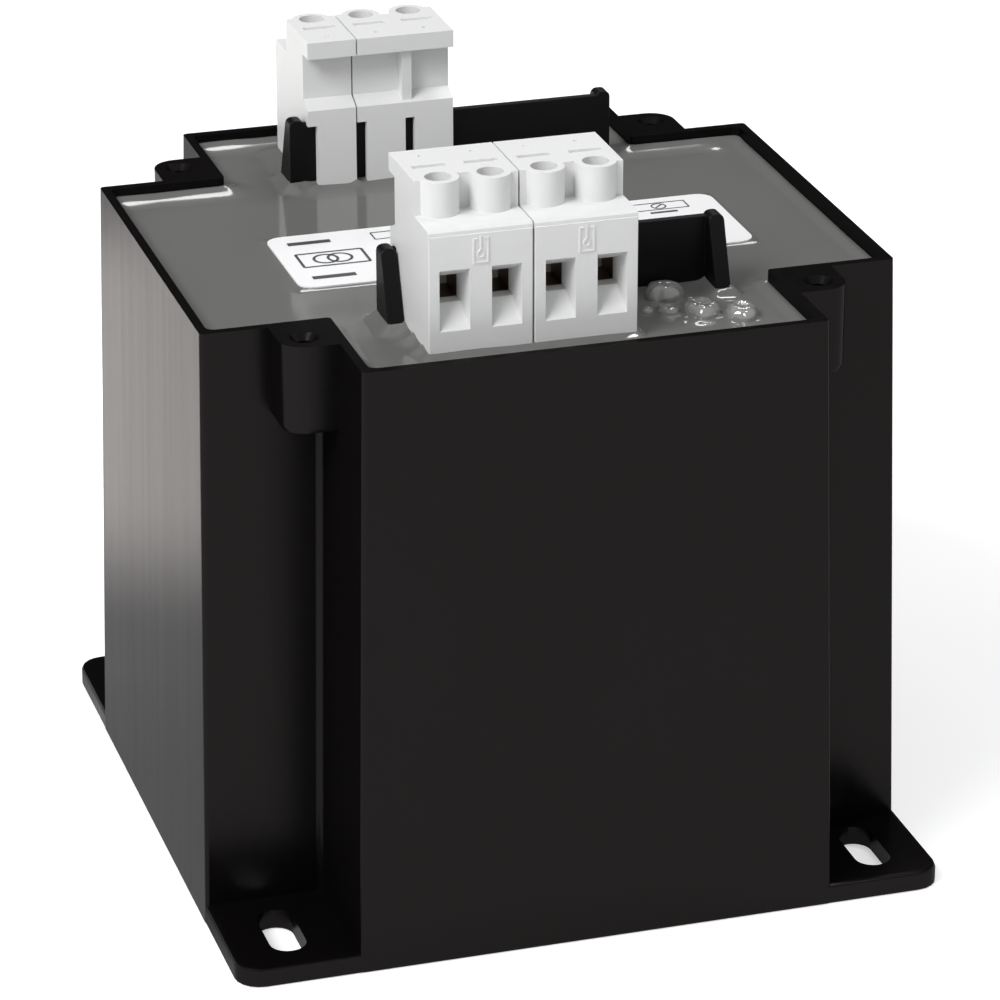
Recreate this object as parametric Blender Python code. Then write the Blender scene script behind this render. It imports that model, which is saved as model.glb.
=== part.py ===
"""Resin potted control transformer with screw terminals on two rows.

A black moulded case with a cross shaped plan holds an EI core and its coil in grey resin.
Two upright holders stand out of the resin and carry lift clamp terminal modules, four poles
at the front (primary) and three at the rear (secondary). Metres, +Z up, front is -Y, and
the origin is on the underside at the middle of the base.
"""
import bpy
import bmesh
from math import pi, radians, tan
from mathutils import Matrix, Vector

# Clearance kept between neighbouring pieces, and round what turns or slides
GAP = 0.0003
RUNNING_GAP = 0.00035

# Case
FRONT_ARM_WIDTH = 0.0886
SIDE_ARM_DEPTH = 0.0844
FRONT_ARM_REACH = 0.0270
SIDE_ARM_REACH = 0.0232
CASE_HEIGHT = 0.1194
CASE_DRAFT = radians(1.29)
WALL = 0.0018
FLOOR = 0.0032
CASE_EDGE_RADIUS = 0.0008
NOTCH_FILLET_RADIUS = 0.0016
TRIM_OVERLAP = 0.001

# Mounting flange and its slots
FLANGE_THICKNESS = 0.0038
FLANGE_CORNER_RADIUS = 0.005
FLANGE_EDGE_RADIUS = 0.001
FLANGE_SET_BACK = 0.0001
SLOT_WIDTH = 0.007
SLOT_LENGTH = 0.0165
SLOT_EDGE_DISTANCE_X = 0.01149
SLOT_EDGE_DISTANCE_Y = 0.01369

# Screw bosses in the four corner notches
BOSS_RADIUS = 0.005
BOSS_OFFSET_X = 0.0054
BOSS_OFFSET_Y = 0.0068
BOSS_HEIGHT = 0.0175
BOSS_LOWER_RADIUS = 0.0015
BOSS_HOLE_RADIUS = 0.0016
BOSS_HOLE_DEPTH = 0.014
BOSS_SINK_RADIUS = 0.0028
BOSS_SINK_DEPTH = 0.0012

# Resin and label
RESIN_BELOW_RIM = 0.0029
LABEL_WIDTH = 0.0907
LABEL_DEPTH = 0.0284
LABEL_THICKNESS = 0.0003
LABEL_CENTRE = (0.0030, -0.0044)
LABEL_CORNER_RADIUS = 0.003

# Core, EI laminations with the legs upright
CORE_END_ROOM = 0.0057
CORE_SIDE_ROOM = 0.0054
CORE_COVER = 0.0127

# Coil: former, primary inside, insulation, secondary and outer wrap
FORMER_WALL = 0.0015
FORMER_FLANGE = 0.0015
FORMER_CORNER_RADIUS = 0.004
COIL_END_ROOM = 0.0005
PRIMARY_BUILD = 0.0080
INSULATION_THICKNESS = 0.0006
WRAP_THICKNESS = 0.0005
WRAP_SET_IN = 0.0006
WINDING_CORNER_RADIUS = 0.002

# Terminal holders, heights measured from the resin surface
HOLDER_CORE_ROOM = 0.0012
HOLDER_END_ROOM = 0.0092
FRONT_HOLDER_X = 0.00075
REAR_HOLDER_X = 0.0032
PLATE_THICKNESS = 0.0016
PLATE_HEIGHT = 0.0139
CHEEK_WIDTH = 0.0030
CHEEK_HEIGHT = 0.0146
CHEEK_TOP_DEPTH = 0.0033
CHEEK_FOOT_DEPTH = 0.0085
CHEEK_ROUNDING = 0.0011

# Terminal modules, depths measured from the wiring face
POLE_PITCH = 0.00985
FACE_REACH = 0.0235
SET_IN = 0.0035
LEDGE_HEIGHT = 0.0245
LEDGE_DEPTH = 0.0092
LEDGE_CHAMFER = 0.0004
LEDGE_STEP_HEIGHT = 0.0011
LEDGE_STEP_DEPTH = 0.0003
TOP_HEIGHT = 0.0312
LIP_HEIGHT = 0.0034
LIP_DEPTH = 0.0259
RECESS_DEPTH = 0.0220
RECESS_SLOPE = 0.0016
SHOULDER_HEIGHT = 0.0170
LEG_FACE_DEPTH = 0.0253
LEG_THICKNESS = 0.0014
LEG_GAP = 0.0019
LEG_TOP = 0.0138
PLATE_SLOT_BACK = 0.0214
RIB_WIDTH = 0.0020
RIB_OFFSET = 0.0005
RIB_SET_IN = 0.0006
MODULE_EDGE_RADIUS = 0.0005

# Screw towers and marking slots
TOWER_DEPTH = 0.0104
TOWER_RADIUS = 0.00385
TOWER_SEGMENTS = 28
VALLEY_DEPTH = 0.0113
VALLEY_WIDTH = 0.0044
BORE_RADIUS = 0.0025
BORE_SEGMENTS = 24
MARK_WIDTH = 0.0064
MARK_LENGTH = 0.0014
MARK_SINK = 0.0008
MARK_DEPTH = 0.0165
DOT_RADIUS = 0.0005
DOT_SINK = 0.0003
DOT_DEPTH = 0.0222

# Wire entries
ENTRY_WIDTH = 0.0058
ENTRY_LOW = 0.0049
ENTRY_HIGH = 0.0171
FUNNEL_DEPTH = 0.0040
THROAT_WIDTH = 0.0046
THROAT_LOW = 0.00935
THROAT_HEIGHT = 0.0053
STEP_BACK = 0.00005

# Lift clamp, screw and bar of one pole
CAGE_SIZE = 0.0064
CAGE_WALL = 0.0008
CAGE_TOP_WALL = 0.0014
CAGE_TRAVEL = 0.0042
CHAMBER_CLEARANCE = 0.0004
BAR_THICKNESS = 0.0010
SEAT_THICKNESS = 0.0007
BAR_WIDTH = 0.0036
BAR_REACH = 0.0066
TAIL_BELOW_FOOT = 0.0030
SCREW_RADIUS = 0.0016
SCREW_HEAD_RADIUS = 0.0021
SCREW_HEAD_HEIGHT = 0.0020
SCREW_SLOT_WIDTH = 0.0008
SCREW_SLOT_DEPTH = 0.0010
SCREW_TIP_CHAMFER = 0.0004
ROUND_SEGMENTS = 16

# Lead wires from the coil to the terminals
LEAD_RADIUS = 0.0009
LEAD_END_LIFT = 0.0003

# Hardened drops of resin beside the front modules: X from their side, depth from the
# wiring face, half width, half depth, height
RESIN_DROPS = [
    (0.01115, 0.0181, 0.0039, 0.0034, 0.0029),
    (0.01545, 0.0086, 0.0033, 0.0040, 0.0026),
    (0.02205, 0.0052, 0.0030, 0.0038, 0.0024),
    (0.00945, 0.0104, 0.0020, 0.0022, 0.0016),
]

# Sizes worked out from the ones above
TOP_WIDTH = FRONT_ARM_WIDTH + 2 * SIDE_ARM_REACH
TOP_DEPTH = SIDE_ARM_DEPTH + 2 * FRONT_ARM_REACH
BASE_SPREAD = CASE_HEIGHT * tan(CASE_DRAFT)
SLOT_SPACING_X = TOP_WIDTH + 2 * (BASE_SPREAD - SLOT_EDGE_DISTANCE_X)
SLOT_SPACING_Y = TOP_DEPTH + 2 * (BASE_SPREAD - SLOT_EDGE_DISTANCE_Y)
RESIN_LEVEL = CASE_HEIGHT - RESIN_BELOW_RIM
CORE_LENGTH = TOP_WIDTH - 2 * (WALL + CORE_END_ROOM)
CORE_STACK = SIDE_ARM_DEPTH - 2 * (WALL + CORE_SIDE_ROOM)
CORE_FOOT = FLOOR + GAP
# Standard EI sheets: the yokes and outer legs are a sixth of the length, the centre leg a third
CORE_YOKE = CORE_LENGTH / 6
OUTER_LEG_WIDTH = CORE_LENGTH / 6
CENTRE_LEG_WIDTH = CORE_LENGTH / 3
WINDOW_HEIGHT = RESIN_LEVEL - CORE_COVER - GAP - CORE_FOOT - 2 * CORE_YOKE
COIL_BUILD = (CORE_LENGTH - CENTRE_LEG_WIDTH) / 2 - OUTER_LEG_WIDTH - COIL_END_ROOM
HOLDER_Y = CORE_STACK / 2 + HOLDER_CORE_ROOM
HOLDER_WIDTH = FRONT_ARM_WIDTH - 2 * (WALL + HOLDER_END_ROOM)
FACE_Y = HOLDER_Y + FACE_REACH
WINDOW_FOOT = CORE_FOOT + CORE_YOKE
WINDOW_TOP = WINDOW_FOOT + WINDOW_HEIGHT
THROAT_TOP = THROAT_LOW + THROAT_HEIGHT
BAR_LOW = THROAT_TOP + STEP_BACK
BAR_TOP = BAR_LOW + BAR_THICKNESS
SCREW_TIP = BAR_TOP + GAP
CAGE_FOOT = THROAT_LOW - CAGE_WALL - STEP_BACK
CAGE_CEILING = SCREW_TIP + GAP
CAGE_TOP = CAGE_CEILING + CAGE_TOP_WALL
CHAMBER_FOOT = CAGE_FOOT - CHAMBER_CLEARANCE
CHAMBER_TOP = CAGE_TOP + CAGE_TRAVEL + CHAMBER_CLEARANCE
HEAD_SEAT = CHAMBER_TOP + SEAT_THICKNESS
HEAD_FOOT = HEAD_SEAT + GAP
TAIL_DEPTH = TOWER_DEPTH + BAR_REACH
FLANGE_TOP_OF_COIL = WINDOW_TOP - GAP


def clear_scene():
    for old in list(bpy.data.objects):
        bpy.data.objects.remove(old, do_unlink=True)


def new_collection(name):
    collection = bpy.data.collections.new(name)
    bpy.context.scene.collection.children.link(collection)
    return collection


def plastic(name, colour, roughness, metallic=0.0):
    material = bpy.data.materials.new(name)
    material.use_nodes = True
    shader = material.node_tree.nodes["Principled BSDF"]
    shader.inputs["Base Color"].default_value = (*colour, 1.0)
    shader.inputs["Roughness"].default_value = roughness
    shader.inputs["Metallic"].default_value = metallic
    return material


def make_object(name, bm, collection, material=None):
    """Turn a bmesh into an object with its faces pointing out."""
    bmesh.ops.recalc_face_normals(bm, faces=bm.faces)
    mesh = bpy.data.meshes.new(name)
    bm.to_mesh(mesh)
    bm.free()
    made = bpy.data.objects.new(name, mesh)
    collection.objects.link(made)
    if material:
        mesh.materials.append(material)
    return made


def make_cutter(name, bm):
    cutter = make_object(name, bm, CUTTERS)
    cutter.hide_render = True
    cutter.display_type = "WIRE"
    return cutter


def combine(target, tool, operation):
    modifier = target.modifiers.new(tool.name, "BOOLEAN")
    modifier.operation = operation
    modifier.solver = "EXACT"
    modifier.object = tool


def shade_round(made):
    made.data.shade_smooth()
    made.data.set_sharp_from_angle(angle=radians(35))


def add_box(bm, low, high):
    low = Vector(low)
    high = Vector(high)
    size = high - low
    matrix = Matrix.Translation((low + high) / 2) @ Matrix.Diagonal((*size, 1.0))
    return bmesh.ops.create_cube(bm, size=1.0, matrix=matrix)["verts"]


def add_cylinder(bm, radius, low, high, centre=(0.0, 0.0), segments=ROUND_SEGMENTS):
    matrix = Matrix.Translation((centre[0], centre[1], (low + high) / 2))
    bmesh.ops.create_cone(bm, cap_ends=True, segments=segments, radius1=radius,
                          radius2=radius, depth=high - low, matrix=matrix)


def add_turned(bm, profile, centre=(0.0, 0.0), segments=ROUND_SEGMENTS):
    """Spin a profile of (radius, height) points, first and last on the axis."""
    verts = [bm.verts.new((centre[0] + r, centre[1], z)) for r, z in profile]
    edges = [bm.edges.new(pair) for pair in zip(verts, verts[1:])]
    bmesh.ops.spin(bm, geom=verts + edges, cent=(centre[0], centre[1], 0.0),
                   axis=(0.0, 0.0, 1.0), angle=2 * pi, steps=segments, use_merge=True)
    bmesh.ops.remove_doubles(bm, verts=bm.verts, dist=1e-6)


def add_outline(bm, points, thickness, direction):
    """Extrude a flat closed outline, given as 3D points, by a vector."""
    face = bm.faces.new([bm.verts.new(point) for point in points])
    grown = bmesh.ops.extrude_face_region(bm, geom=[face])
    moved = [item for item in grown["geom"] if isinstance(item, bmesh.types.BMVert)]
    bmesh.ops.translate(bm, verts=moved, vec=Vector(direction) * thickness)
    return moved


def edges_where(bm, test):
    return [edge for edge in bm.edges if test(edge.verts[0].co, edge.verts[1].co)]


def round_edges(bm, edges, radius, segments):
    bmesh.ops.bevel(bm, geom=edges, offset=radius, segments=segments, profile=0.5,
                    affect="EDGES", clamp_overlap=True)


def is_upright(a, b):
    return abs(a.z - b.z) > 0.5 * (a - b).length and abs(a.z - b.z) > GAP


def cross_outline(half_x, half_y, arm_x, arm_y):
    """Corners of a plus shaped plan, counter-clockwise from the front arm's right corner."""
    quarter = [(arm_x, -half_y), (arm_x, -arm_y), (half_x, -arm_y)]
    points = list(quarter)
    points += [(x, -y) for x, y in reversed(quarter)]
    points += [(-x, -y) for x, y in quarter]
    points += [(-x, y) for x, y in reversed(quarter)]
    return points


def add_cross_prism(bm, low, high, inset, low_spread, high_spread, outer_radius, notch_radius):
    """A plus shaped prism whose walls lean out from high_spread to low_spread."""
    outline = cross_outline(TOP_WIDTH / 2 - inset, TOP_DEPTH / 2 - inset,
                            FRONT_ARM_WIDTH / 2 - inset, SIDE_ARM_DEPTH / 2 - inset)

    def spread(point, amount, z):
        x, y = point
        return (x + amount * (1 if x > 0 else -1), y + amount * (1 if y > 0 else -1), z)

    face = bm.faces.new([bm.verts.new(spread(p, low_spread, low)) for p in outline])
    grown = bmesh.ops.extrude_face_region(bm, geom=[face])
    top = [item for item in grown["geom"] if isinstance(item, bmesh.types.BMVert)]
    for vert in top:
        x, y, z = spread((vert.co.x, vert.co.y), high_spread - low_spread, high)
        vert.co = (x, y, z)

    reach_x = FRONT_ARM_WIDTH / 2 - inset + max(low_spread, high_spread) + GAP
    reach_y = SIDE_ARM_DEPTH / 2 - inset + max(low_spread, high_spread) + GAP

    def in_notch(a):
        return abs(a.x) < reach_x and abs(a.y) < reach_y

    upright = edges_where(bm, is_upright)
    outer = [edge for edge in upright if not in_notch(edge.verts[0].co)]
    inner = [edge for edge in upright if in_notch(edge.verts[0].co)]
    round_edges(bm, outer, outer_radius, 3)
    round_edges(bm, [edge for edge in inner if edge.is_valid], notch_radius, 3)


def corner_signs():
    return [(sx, sy) for sx in (-1, 1) for sy in (-1, 1)]


def mirrored_copy(bm, source, sx, sy):
    """Add a source mesh to bm with X and Y flipped by the signs."""
    flipped = source.copy()
    flipped.transform(Matrix.Diagonal((sx, sy, 1.0, 1.0)))
    if sx * sy < 0:
        flipped.flip_normals()
    bm.from_mesh(flipped)
    bpy.data.meshes.remove(flipped)


def four_corners(name, quarter):
    """Repeat the mesh of the +X +Y corner in all four corners."""
    bmesh.ops.recalc_face_normals(quarter, faces=quarter.faces)
    source = bpy.data.meshes.new(name)
    quarter.to_mesh(source)
    quarter.free()
    bm = bmesh.new()
    for sx, sy in corner_signs():
        mirrored_copy(bm, source, sx, sy)
    bpy.data.meshes.remove(source)
    return bm


def flange_corner():
    """One corner of the flange, from inside the wall to the base's outer corner."""
    low = (FRONT_ARM_WIDTH / 2 - WALL / 2, SIDE_ARM_DEPTH / 2 - WALL / 2, -TRIM_OVERLAP)
    high = (TOP_WIDTH / 2 + BASE_SPREAD - FLANGE_SET_BACK,
            TOP_DEPTH / 2 + BASE_SPREAD - FLANGE_SET_BACK, FLANGE_THICKNESS)
    bm = bmesh.new()
    add_box(bm, low, high)
    corner = edges_where(bm, lambda a, b: is_upright(a, b) and a.x > high[0] - GAP
                         and a.y > high[1] - GAP)
    round_edges(bm, corner, FLANGE_CORNER_RADIUS, 5)

    def on_outer_rim(a, b):
        at_top = min(a.z, b.z) > high[2] - GAP / 2
        clear_x = max(a.x, b.x) > low[0] + GAP
        clear_y = max(a.y, b.y) > low[1] + GAP
        return at_top and clear_x and clear_y

    round_edges(bm, edges_where(bm, on_outer_rim), FLANGE_EDGE_RADIUS, 2)
    return bm


def boss_centre():
    return (FRONT_ARM_WIDTH / 2 + BOSS_OFFSET_X, SIDE_ARM_DEPTH / 2 + BOSS_OFFSET_Y)


def boss_block():
    """A screw boss that fills the inner corner of a notch, rounded round its hole."""
    x, y = boss_centre()
    low = (FRONT_ARM_WIDTH / 2 - WALL / 2, SIDE_ARM_DEPTH / 2 - WALL / 2, CASE_HEIGHT - BOSS_HEIGHT)
    high = (x + BOSS_RADIUS, y + BOSS_RADIUS, CASE_HEIGHT + TRIM_OVERLAP)
    bm = bmesh.new()
    add_box(bm, low, high)
    corner = edges_where(bm, lambda a, b: is_upright(a, b) and a.x > high[0] - GAP
                         and a.y > high[1] - GAP)
    round_edges(bm, corner, BOSS_RADIUS * 0.98, 6)

    def on_lower_rim(a, b):
        at_foot = max(a.z, b.z) < low[2] + GAP / 2
        return at_foot and max(a.x, b.x) > low[0] + GAP and max(a.y, b.y) > low[1] + GAP

    round_edges(bm, edges_where(bm, on_lower_rim), BOSS_LOWER_RADIUS, 2)
    return bm


def boss_hole():
    bm = bmesh.new()
    profile = [(0.0, CASE_HEIGHT + 2 * TRIM_OVERLAP),
               (BOSS_SINK_RADIUS, CASE_HEIGHT + 2 * TRIM_OVERLAP),
               (BOSS_SINK_RADIUS, CASE_HEIGHT),
               (BOSS_HOLE_RADIUS, CASE_HEIGHT - BOSS_SINK_DEPTH),
               (BOSS_HOLE_RADIUS, CASE_HEIGHT - BOSS_HOLE_DEPTH),
               (0.0, CASE_HEIGHT - BOSS_HOLE_DEPTH)]
    add_turned(bm, profile, boss_centre())
    return bm


def flange_slot():
    """The slotted mounting hole, a box with its upright edges rounded to a stadium."""
    half = (SLOT_WIDTH / 2, SLOT_LENGTH / 2)
    centre = (SLOT_SPACING_X / 2, SLOT_SPACING_Y / 2)
    bm = bmesh.new()
    add_box(bm, (centre[0] - half[0], centre[1] - half[1], -2 * TRIM_OVERLAP),
            (centre[0] + half[0], centre[1] + half[1], FLANGE_THICKNESS + TRIM_OVERLAP))
    round_edges(bm, edges_where(bm, is_upright), half[0] * 0.995, 5)
    return bm


def trim_slabs():
    """Slabs that cut the case flat at its rim and at its underside."""
    bm = bmesh.new()
    reach = max(TOP_WIDTH, TOP_DEPTH)
    add_box(bm, (-reach, -reach, CASE_HEIGHT), (reach, reach, CASE_HEIGHT + 4 * TRIM_OVERLAP))
    add_box(bm, (-reach, -reach, -4 * TRIM_OVERLAP), (reach, reach, 0.0))
    return bm


def build_housing():
    spread_per_metre = tan(CASE_DRAFT)
    bm = bmesh.new()
    add_cross_prism(bm, -TRIM_OVERLAP, CASE_HEIGHT + TRIM_OVERLAP, 0.0,
                    BASE_SPREAD + TRIM_OVERLAP * spread_per_metre, -TRIM_OVERLAP * spread_per_metre,
                    CASE_EDGE_RADIUS, NOTCH_FILLET_RADIUS)
    housing = make_object("housing", bm, PARTS, BLACK_PLASTIC)
    combine(housing, make_cutter("flange_corners", four_corners("flange", flange_corner())), "UNION")
    combine(housing, make_cutter("boss_blocks", four_corners("boss", boss_block())), "UNION")
    combine(housing, make_cutter("case_trim", trim_slabs()), "DIFFERENCE")

    cavity = bmesh.new()
    add_cross_prism(cavity, FLOOR, CASE_HEIGHT + TRIM_OVERLAP, WALL, 0.0, 0.0,
                    NOTCH_FILLET_RADIUS, CASE_EDGE_RADIUS)
    combine(housing, make_cutter("case_cavity", cavity), "DIFFERENCE")
    combine(housing, make_cutter("boss_holes", four_corners("hole", boss_hole())), "DIFFERENCE")
    combine(housing, make_cutter("flange_slots", four_corners("slot", flange_slot())), "DIFFERENCE")
    return housing


def build_core():
    half_x = CORE_LENGTH / 2
    half_y = CORE_STACK / 2
    bm = bmesh.new()
    add_box(bm, (-half_x, -half_y, CORE_FOOT), (half_x, half_y, WINDOW_TOP))
    e_pack = make_object("core_e_laminations", bm, PARTS, STEEL)
    windows = bmesh.new()
    for side in (-1, 1):
        near = side * CENTRE_LEG_WIDTH / 2
        far = side * (half_x - OUTER_LEG_WIDTH)
        add_box(windows, (min(near, far), -half_y - GAP, WINDOW_FOOT),
                (max(near, far), half_y + GAP, WINDOW_TOP + GAP))
    combine(e_pack, make_cutter("core_windows", windows), "DIFFERENCE")

    bm = bmesh.new()
    foot = WINDOW_TOP + GAP
    add_box(bm, (-half_x, -half_y, foot), (half_x, half_y, foot + CORE_YOKE))
    make_object("core_i_laminations", bm, PARTS, STEEL)


def coil_half(reach):
    """Half sizes in X and Y of a ring that stands out from the centre leg by reach."""
    return (CENTRE_LEG_WIDTH / 2 + reach, CORE_STACK / 2 + reach)


def add_rounded_slab(bm, half, low, high, radius):
    slab = bmesh.new()
    add_box(slab, (-half[0], -half[1], low), (half[0], half[1], high))
    round_edges(slab, edges_where(slab, is_upright), radius, 3)
    scratch = bpy.data.meshes.new("slab")
    slab.to_mesh(scratch)
    slab.free()
    bm.from_mesh(scratch)
    bpy.data.meshes.remove(scratch)


def chamber_levels():
    """Foot and top of the windings between the two rims of the former."""
    foot = WINDOW_FOOT + GAP + FORMER_FLANGE + GAP
    return foot, FLANGE_TOP_OF_COIL - FORMER_FLANGE - GAP


def coil_layers():
    """Inner and outer reach of each layer, from the centre leg outward."""
    primary = FORMER_WALL + 2 * GAP
    insulation = primary + PRIMARY_BUILD + GAP
    secondary = insulation + INSULATION_THICKNESS + GAP
    wrap = COIL_BUILD - WRAP_SET_IN - WRAP_THICKNESS
    return {"primary": (primary, insulation - GAP), "insulation": (insulation, secondary - GAP),
            "secondary": (secondary, wrap - GAP), "wrap": (wrap, wrap + WRAP_THICKNESS)}


def build_former():
    foot = WINDOW_FOOT + GAP
    bm = bmesh.new()
    add_rounded_slab(bm, coil_half(GAP + FORMER_WALL), foot, FLANGE_TOP_OF_COIL, FORMER_WALL)
    former = make_object("coil_former", bm, PARTS, NATURAL_NYLON)
    rims = bmesh.new()
    for level in (foot, FLANGE_TOP_OF_COIL - FORMER_FLANGE):
        add_rounded_slab(rims, coil_half(COIL_BUILD), level, level + FORMER_FLANGE, FORMER_CORNER_RADIUS)
    combine(former, make_cutter("former_rims", rims), "UNION")
    bore = bmesh.new()
    leg = coil_half(GAP)
    add_box(bore, (-leg[0], -leg[1], foot - GAP), (leg[0], leg[1], FLANGE_TOP_OF_COIL + GAP))
    combine(former, make_cutter("former_bore", bore), "DIFFERENCE")
    for side, number, x in all_poles():
        tool = make_cutter(f"{row_label(side)}_lead_hole_{number}", lead_bmesh(side, x, GAP))
        combine(former, tool, "DIFFERENCE")


def build_coil_layer(name, layer, material):
    inner, outer = coil_layers()[layer]
    low, high = chamber_levels()
    bm = bmesh.new()
    add_rounded_slab(bm, coil_half(outer), low, high, WINDING_CORNER_RADIUS + outer - inner)
    ring = make_object(name, bm, PARTS, material)
    bore = bmesh.new()
    add_rounded_slab(bore, coil_half(inner), low - GAP, high + GAP, WINDING_CORNER_RADIUS)
    combine(ring, make_cutter(name + "_bore", bore), "DIFFERENCE")


def build_coil():
    build_former()
    build_coil_layer("primary_winding", "primary", ENAMELLED_COPPER)
    build_coil_layer("layer_insulation", "insulation", INSULATION_PAPER)
    build_coil_layer("secondary_winding", "secondary", ENAMELLED_COPPER)
    build_coil_layer("outer_wrap", "wrap", INSULATION_PAPER)


def holder_cheek_outline(x, grow=0.0):
    """Side view of a cheek: upright inside, leaning out towards its foot."""
    lean = (CHEEK_FOOT_DEPTH - CHEEK_TOP_DEPTH) / CHEEK_HEIGHT
    foot_depth = CHEEK_FOOT_DEPTH + lean * SET_IN
    return [(x, grow, -SET_IN - grow), (x, grow, CHEEK_HEIGHT),
            (x, -CHEEK_TOP_DEPTH - grow, CHEEK_HEIGHT), (x, -foot_depth - grow, -SET_IN - grow)]


def cheek_bmesh(x):
    bm = bmesh.new()
    add_outline(bm, holder_cheek_outline(x), CHEEK_WIDTH, (1.0, 0.0, 0.0))
    top = edges_where(bm, lambda a, b: min(a.z, b.z) > CHEEK_HEIGHT - GAP
                      and abs(a.x - b.x) < GAP)
    round_edges(bm, top, CHEEK_ROUNDING, 3)
    return bm


def build_holder(name, centre_x, side):
    """A plate between two cheeks, in its own frame with the inner face at y = 0."""
    half = HOLDER_WIDTH / 2
    foot = FLANGE_TOP_OF_COIL + GAP - RESIN_LEVEL
    inside = CHEEK_WIDTH / 2
    bm = bmesh.new()
    add_box(bm, (-half + inside, -PLATE_THICKNESS, foot), (half - inside, 0.0, PLATE_HEIGHT))
    holder = make_object(name, bm, PARTS, BLACK_PLASTIC)
    for label, x in (("left", -half), ("right", half - CHEEK_WIDTH)):
        cheek = make_cutter(name + "_cheek_" + label, cheek_bmesh(x))
        place_in_row(cheek, side, centre_x, FACE_REACH, 0.0)
        combine(holder, cheek, "UNION")
    place_in_row(holder, side, centre_x, FACE_REACH, 0.0)


def place_in_row(made, side, x, depth, height):
    """Put an object in a terminal row: side is -1 at the front and 1 at the rear."""
    made.location = (x, side * (FACE_Y - depth), RESIN_LEVEL + height)
    made.rotation_euler = (0.0, 0.0, 0.0 if side < 0 else pi)


def module_profile():
    """Side view of a module as (depth, height), from the foot of the wiring face."""
    lip_foot = TOP_HEIGHT - LIP_HEIGHT
    leg_back = LEG_FACE_DEPTH - LEG_THICKNESS
    slot_roof = PLATE_HEIGHT + GAP
    step_foot = LEDGE_HEIGHT - LEDGE_STEP_HEIGHT
    return [(0.0, -SET_IN), (0.0, step_foot), (LEDGE_STEP_DEPTH, step_foot),
            (LEDGE_STEP_DEPTH, LEDGE_HEIGHT - LEDGE_CHAMFER),
            (LEDGE_STEP_DEPTH + LEDGE_CHAMFER, LEDGE_HEIGHT), (LEDGE_DEPTH, LEDGE_HEIGHT), (LEDGE_DEPTH, TOP_HEIGHT), (LIP_DEPTH, TOP_HEIGHT),
            (LIP_DEPTH, lip_foot), (RECESS_DEPTH, lip_foot),
            (RECESS_DEPTH, SHOULDER_HEIGHT + RECESS_SLOPE), (LEG_FACE_DEPTH, SHOULDER_HEIGHT),
            (LEG_FACE_DEPTH, -SET_IN), (leg_back, -SET_IN), (leg_back, slot_roof),
            (PLATE_SLOT_BACK, slot_roof), (PLATE_SLOT_BACK, -SET_IN)]


def module_width(poles):
    return poles * POLE_PITCH


def pole_offsets(poles):
    first = -(poles - 1) / 2 * POLE_PITCH
    return [first + i * POLE_PITCH for i in range(poles)]


def module_valleys(poles):
    """Recesses between neighbouring towers, down to the ledge."""
    bm = bmesh.new()
    for x in pole_offsets(poles)[1:]:
        middle = x - POLE_PITCH / 2
        add_box(bm, (middle - VALLEY_WIDTH / 2, LEDGE_DEPTH - GAP, LEDGE_HEIGHT),
                (middle + VALLEY_WIDTH / 2, VALLEY_DEPTH, TOP_HEIGHT + GAP))
    return bm


def module_towers(poles):
    bm = bmesh.new()
    for x in pole_offsets(poles):
        add_cylinder(bm, TOWER_RADIUS, LEDGE_HEIGHT - LEDGE_STEP_HEIGHT, TOP_HEIGHT,
                     (x, TOWER_DEPTH), TOWER_SEGMENTS)
    return bm


def module_ribs(poles):
    bm = bmesh.new()
    for x in pole_offsets(poles)[1:]:
        middle = x - POLE_PITCH / 2 - RIB_OFFSET
        add_box(bm, (middle - RIB_WIDTH / 2, RECESS_DEPTH - GAP, SHOULDER_HEIGHT - GAP),
                (middle + RIB_WIDTH / 2, LEG_FACE_DEPTH - RIB_SET_IN, TOP_HEIGHT - LIP_HEIGHT + GAP))
    return bm


def module_bores(poles):
    """Screwdriver bore with the seat of the screw head, open into the clamp chamber."""
    bm = bmesh.new()
    for x in pole_offsets(poles):
        seat_hole = SCREW_RADIUS + RUNNING_GAP
        profile = [(0.0, TOP_HEIGHT + GAP), (BORE_RADIUS, TOP_HEIGHT + GAP), (BORE_RADIUS, HEAD_SEAT),
                   (seat_hole, HEAD_SEAT), (seat_hole, CHAMBER_TOP - GAP), (0.0, CHAMBER_TOP - GAP)]
        add_turned(bm, profile, (x, TOWER_DEPTH), BORE_SEGMENTS)
    return bm


def module_chambers(poles):
    """Room for the clamp, its travel, the bar behind it and the bar's tail."""
    bm = bmesh.new()
    half = CAGE_SIZE / 2 + CHAMBER_CLEARANCE
    for x in pole_offsets(poles):
        add_box(bm, (x - half, TOWER_DEPTH - half, CHAMBER_FOOT), (x + half, TOWER_DEPTH + half, CHAMBER_TOP))
    return bm


def module_bar_slots(poles):
    bm = bmesh.new()
    for x in pole_offsets(poles):
        half = BAR_WIDTH / 2 + GAP
        back = TAIL_DEPTH + GAP
        add_box(bm, (x - half, TOWER_DEPTH, BAR_LOW - GAP), (x + half, back, BAR_TOP + GAP))
    return bm


def module_tail_slots(poles):
    bm = bmesh.new()
    for x in pole_offsets(poles):
        half = BAR_WIDTH / 2 + GAP
        front = TAIL_DEPTH - BAR_THICKNESS - GAP
        add_box(bm, (x - half, front, -SET_IN - GAP), (x + half, TAIL_DEPTH + GAP, BAR_LOW + GAP))
    return bm


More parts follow.
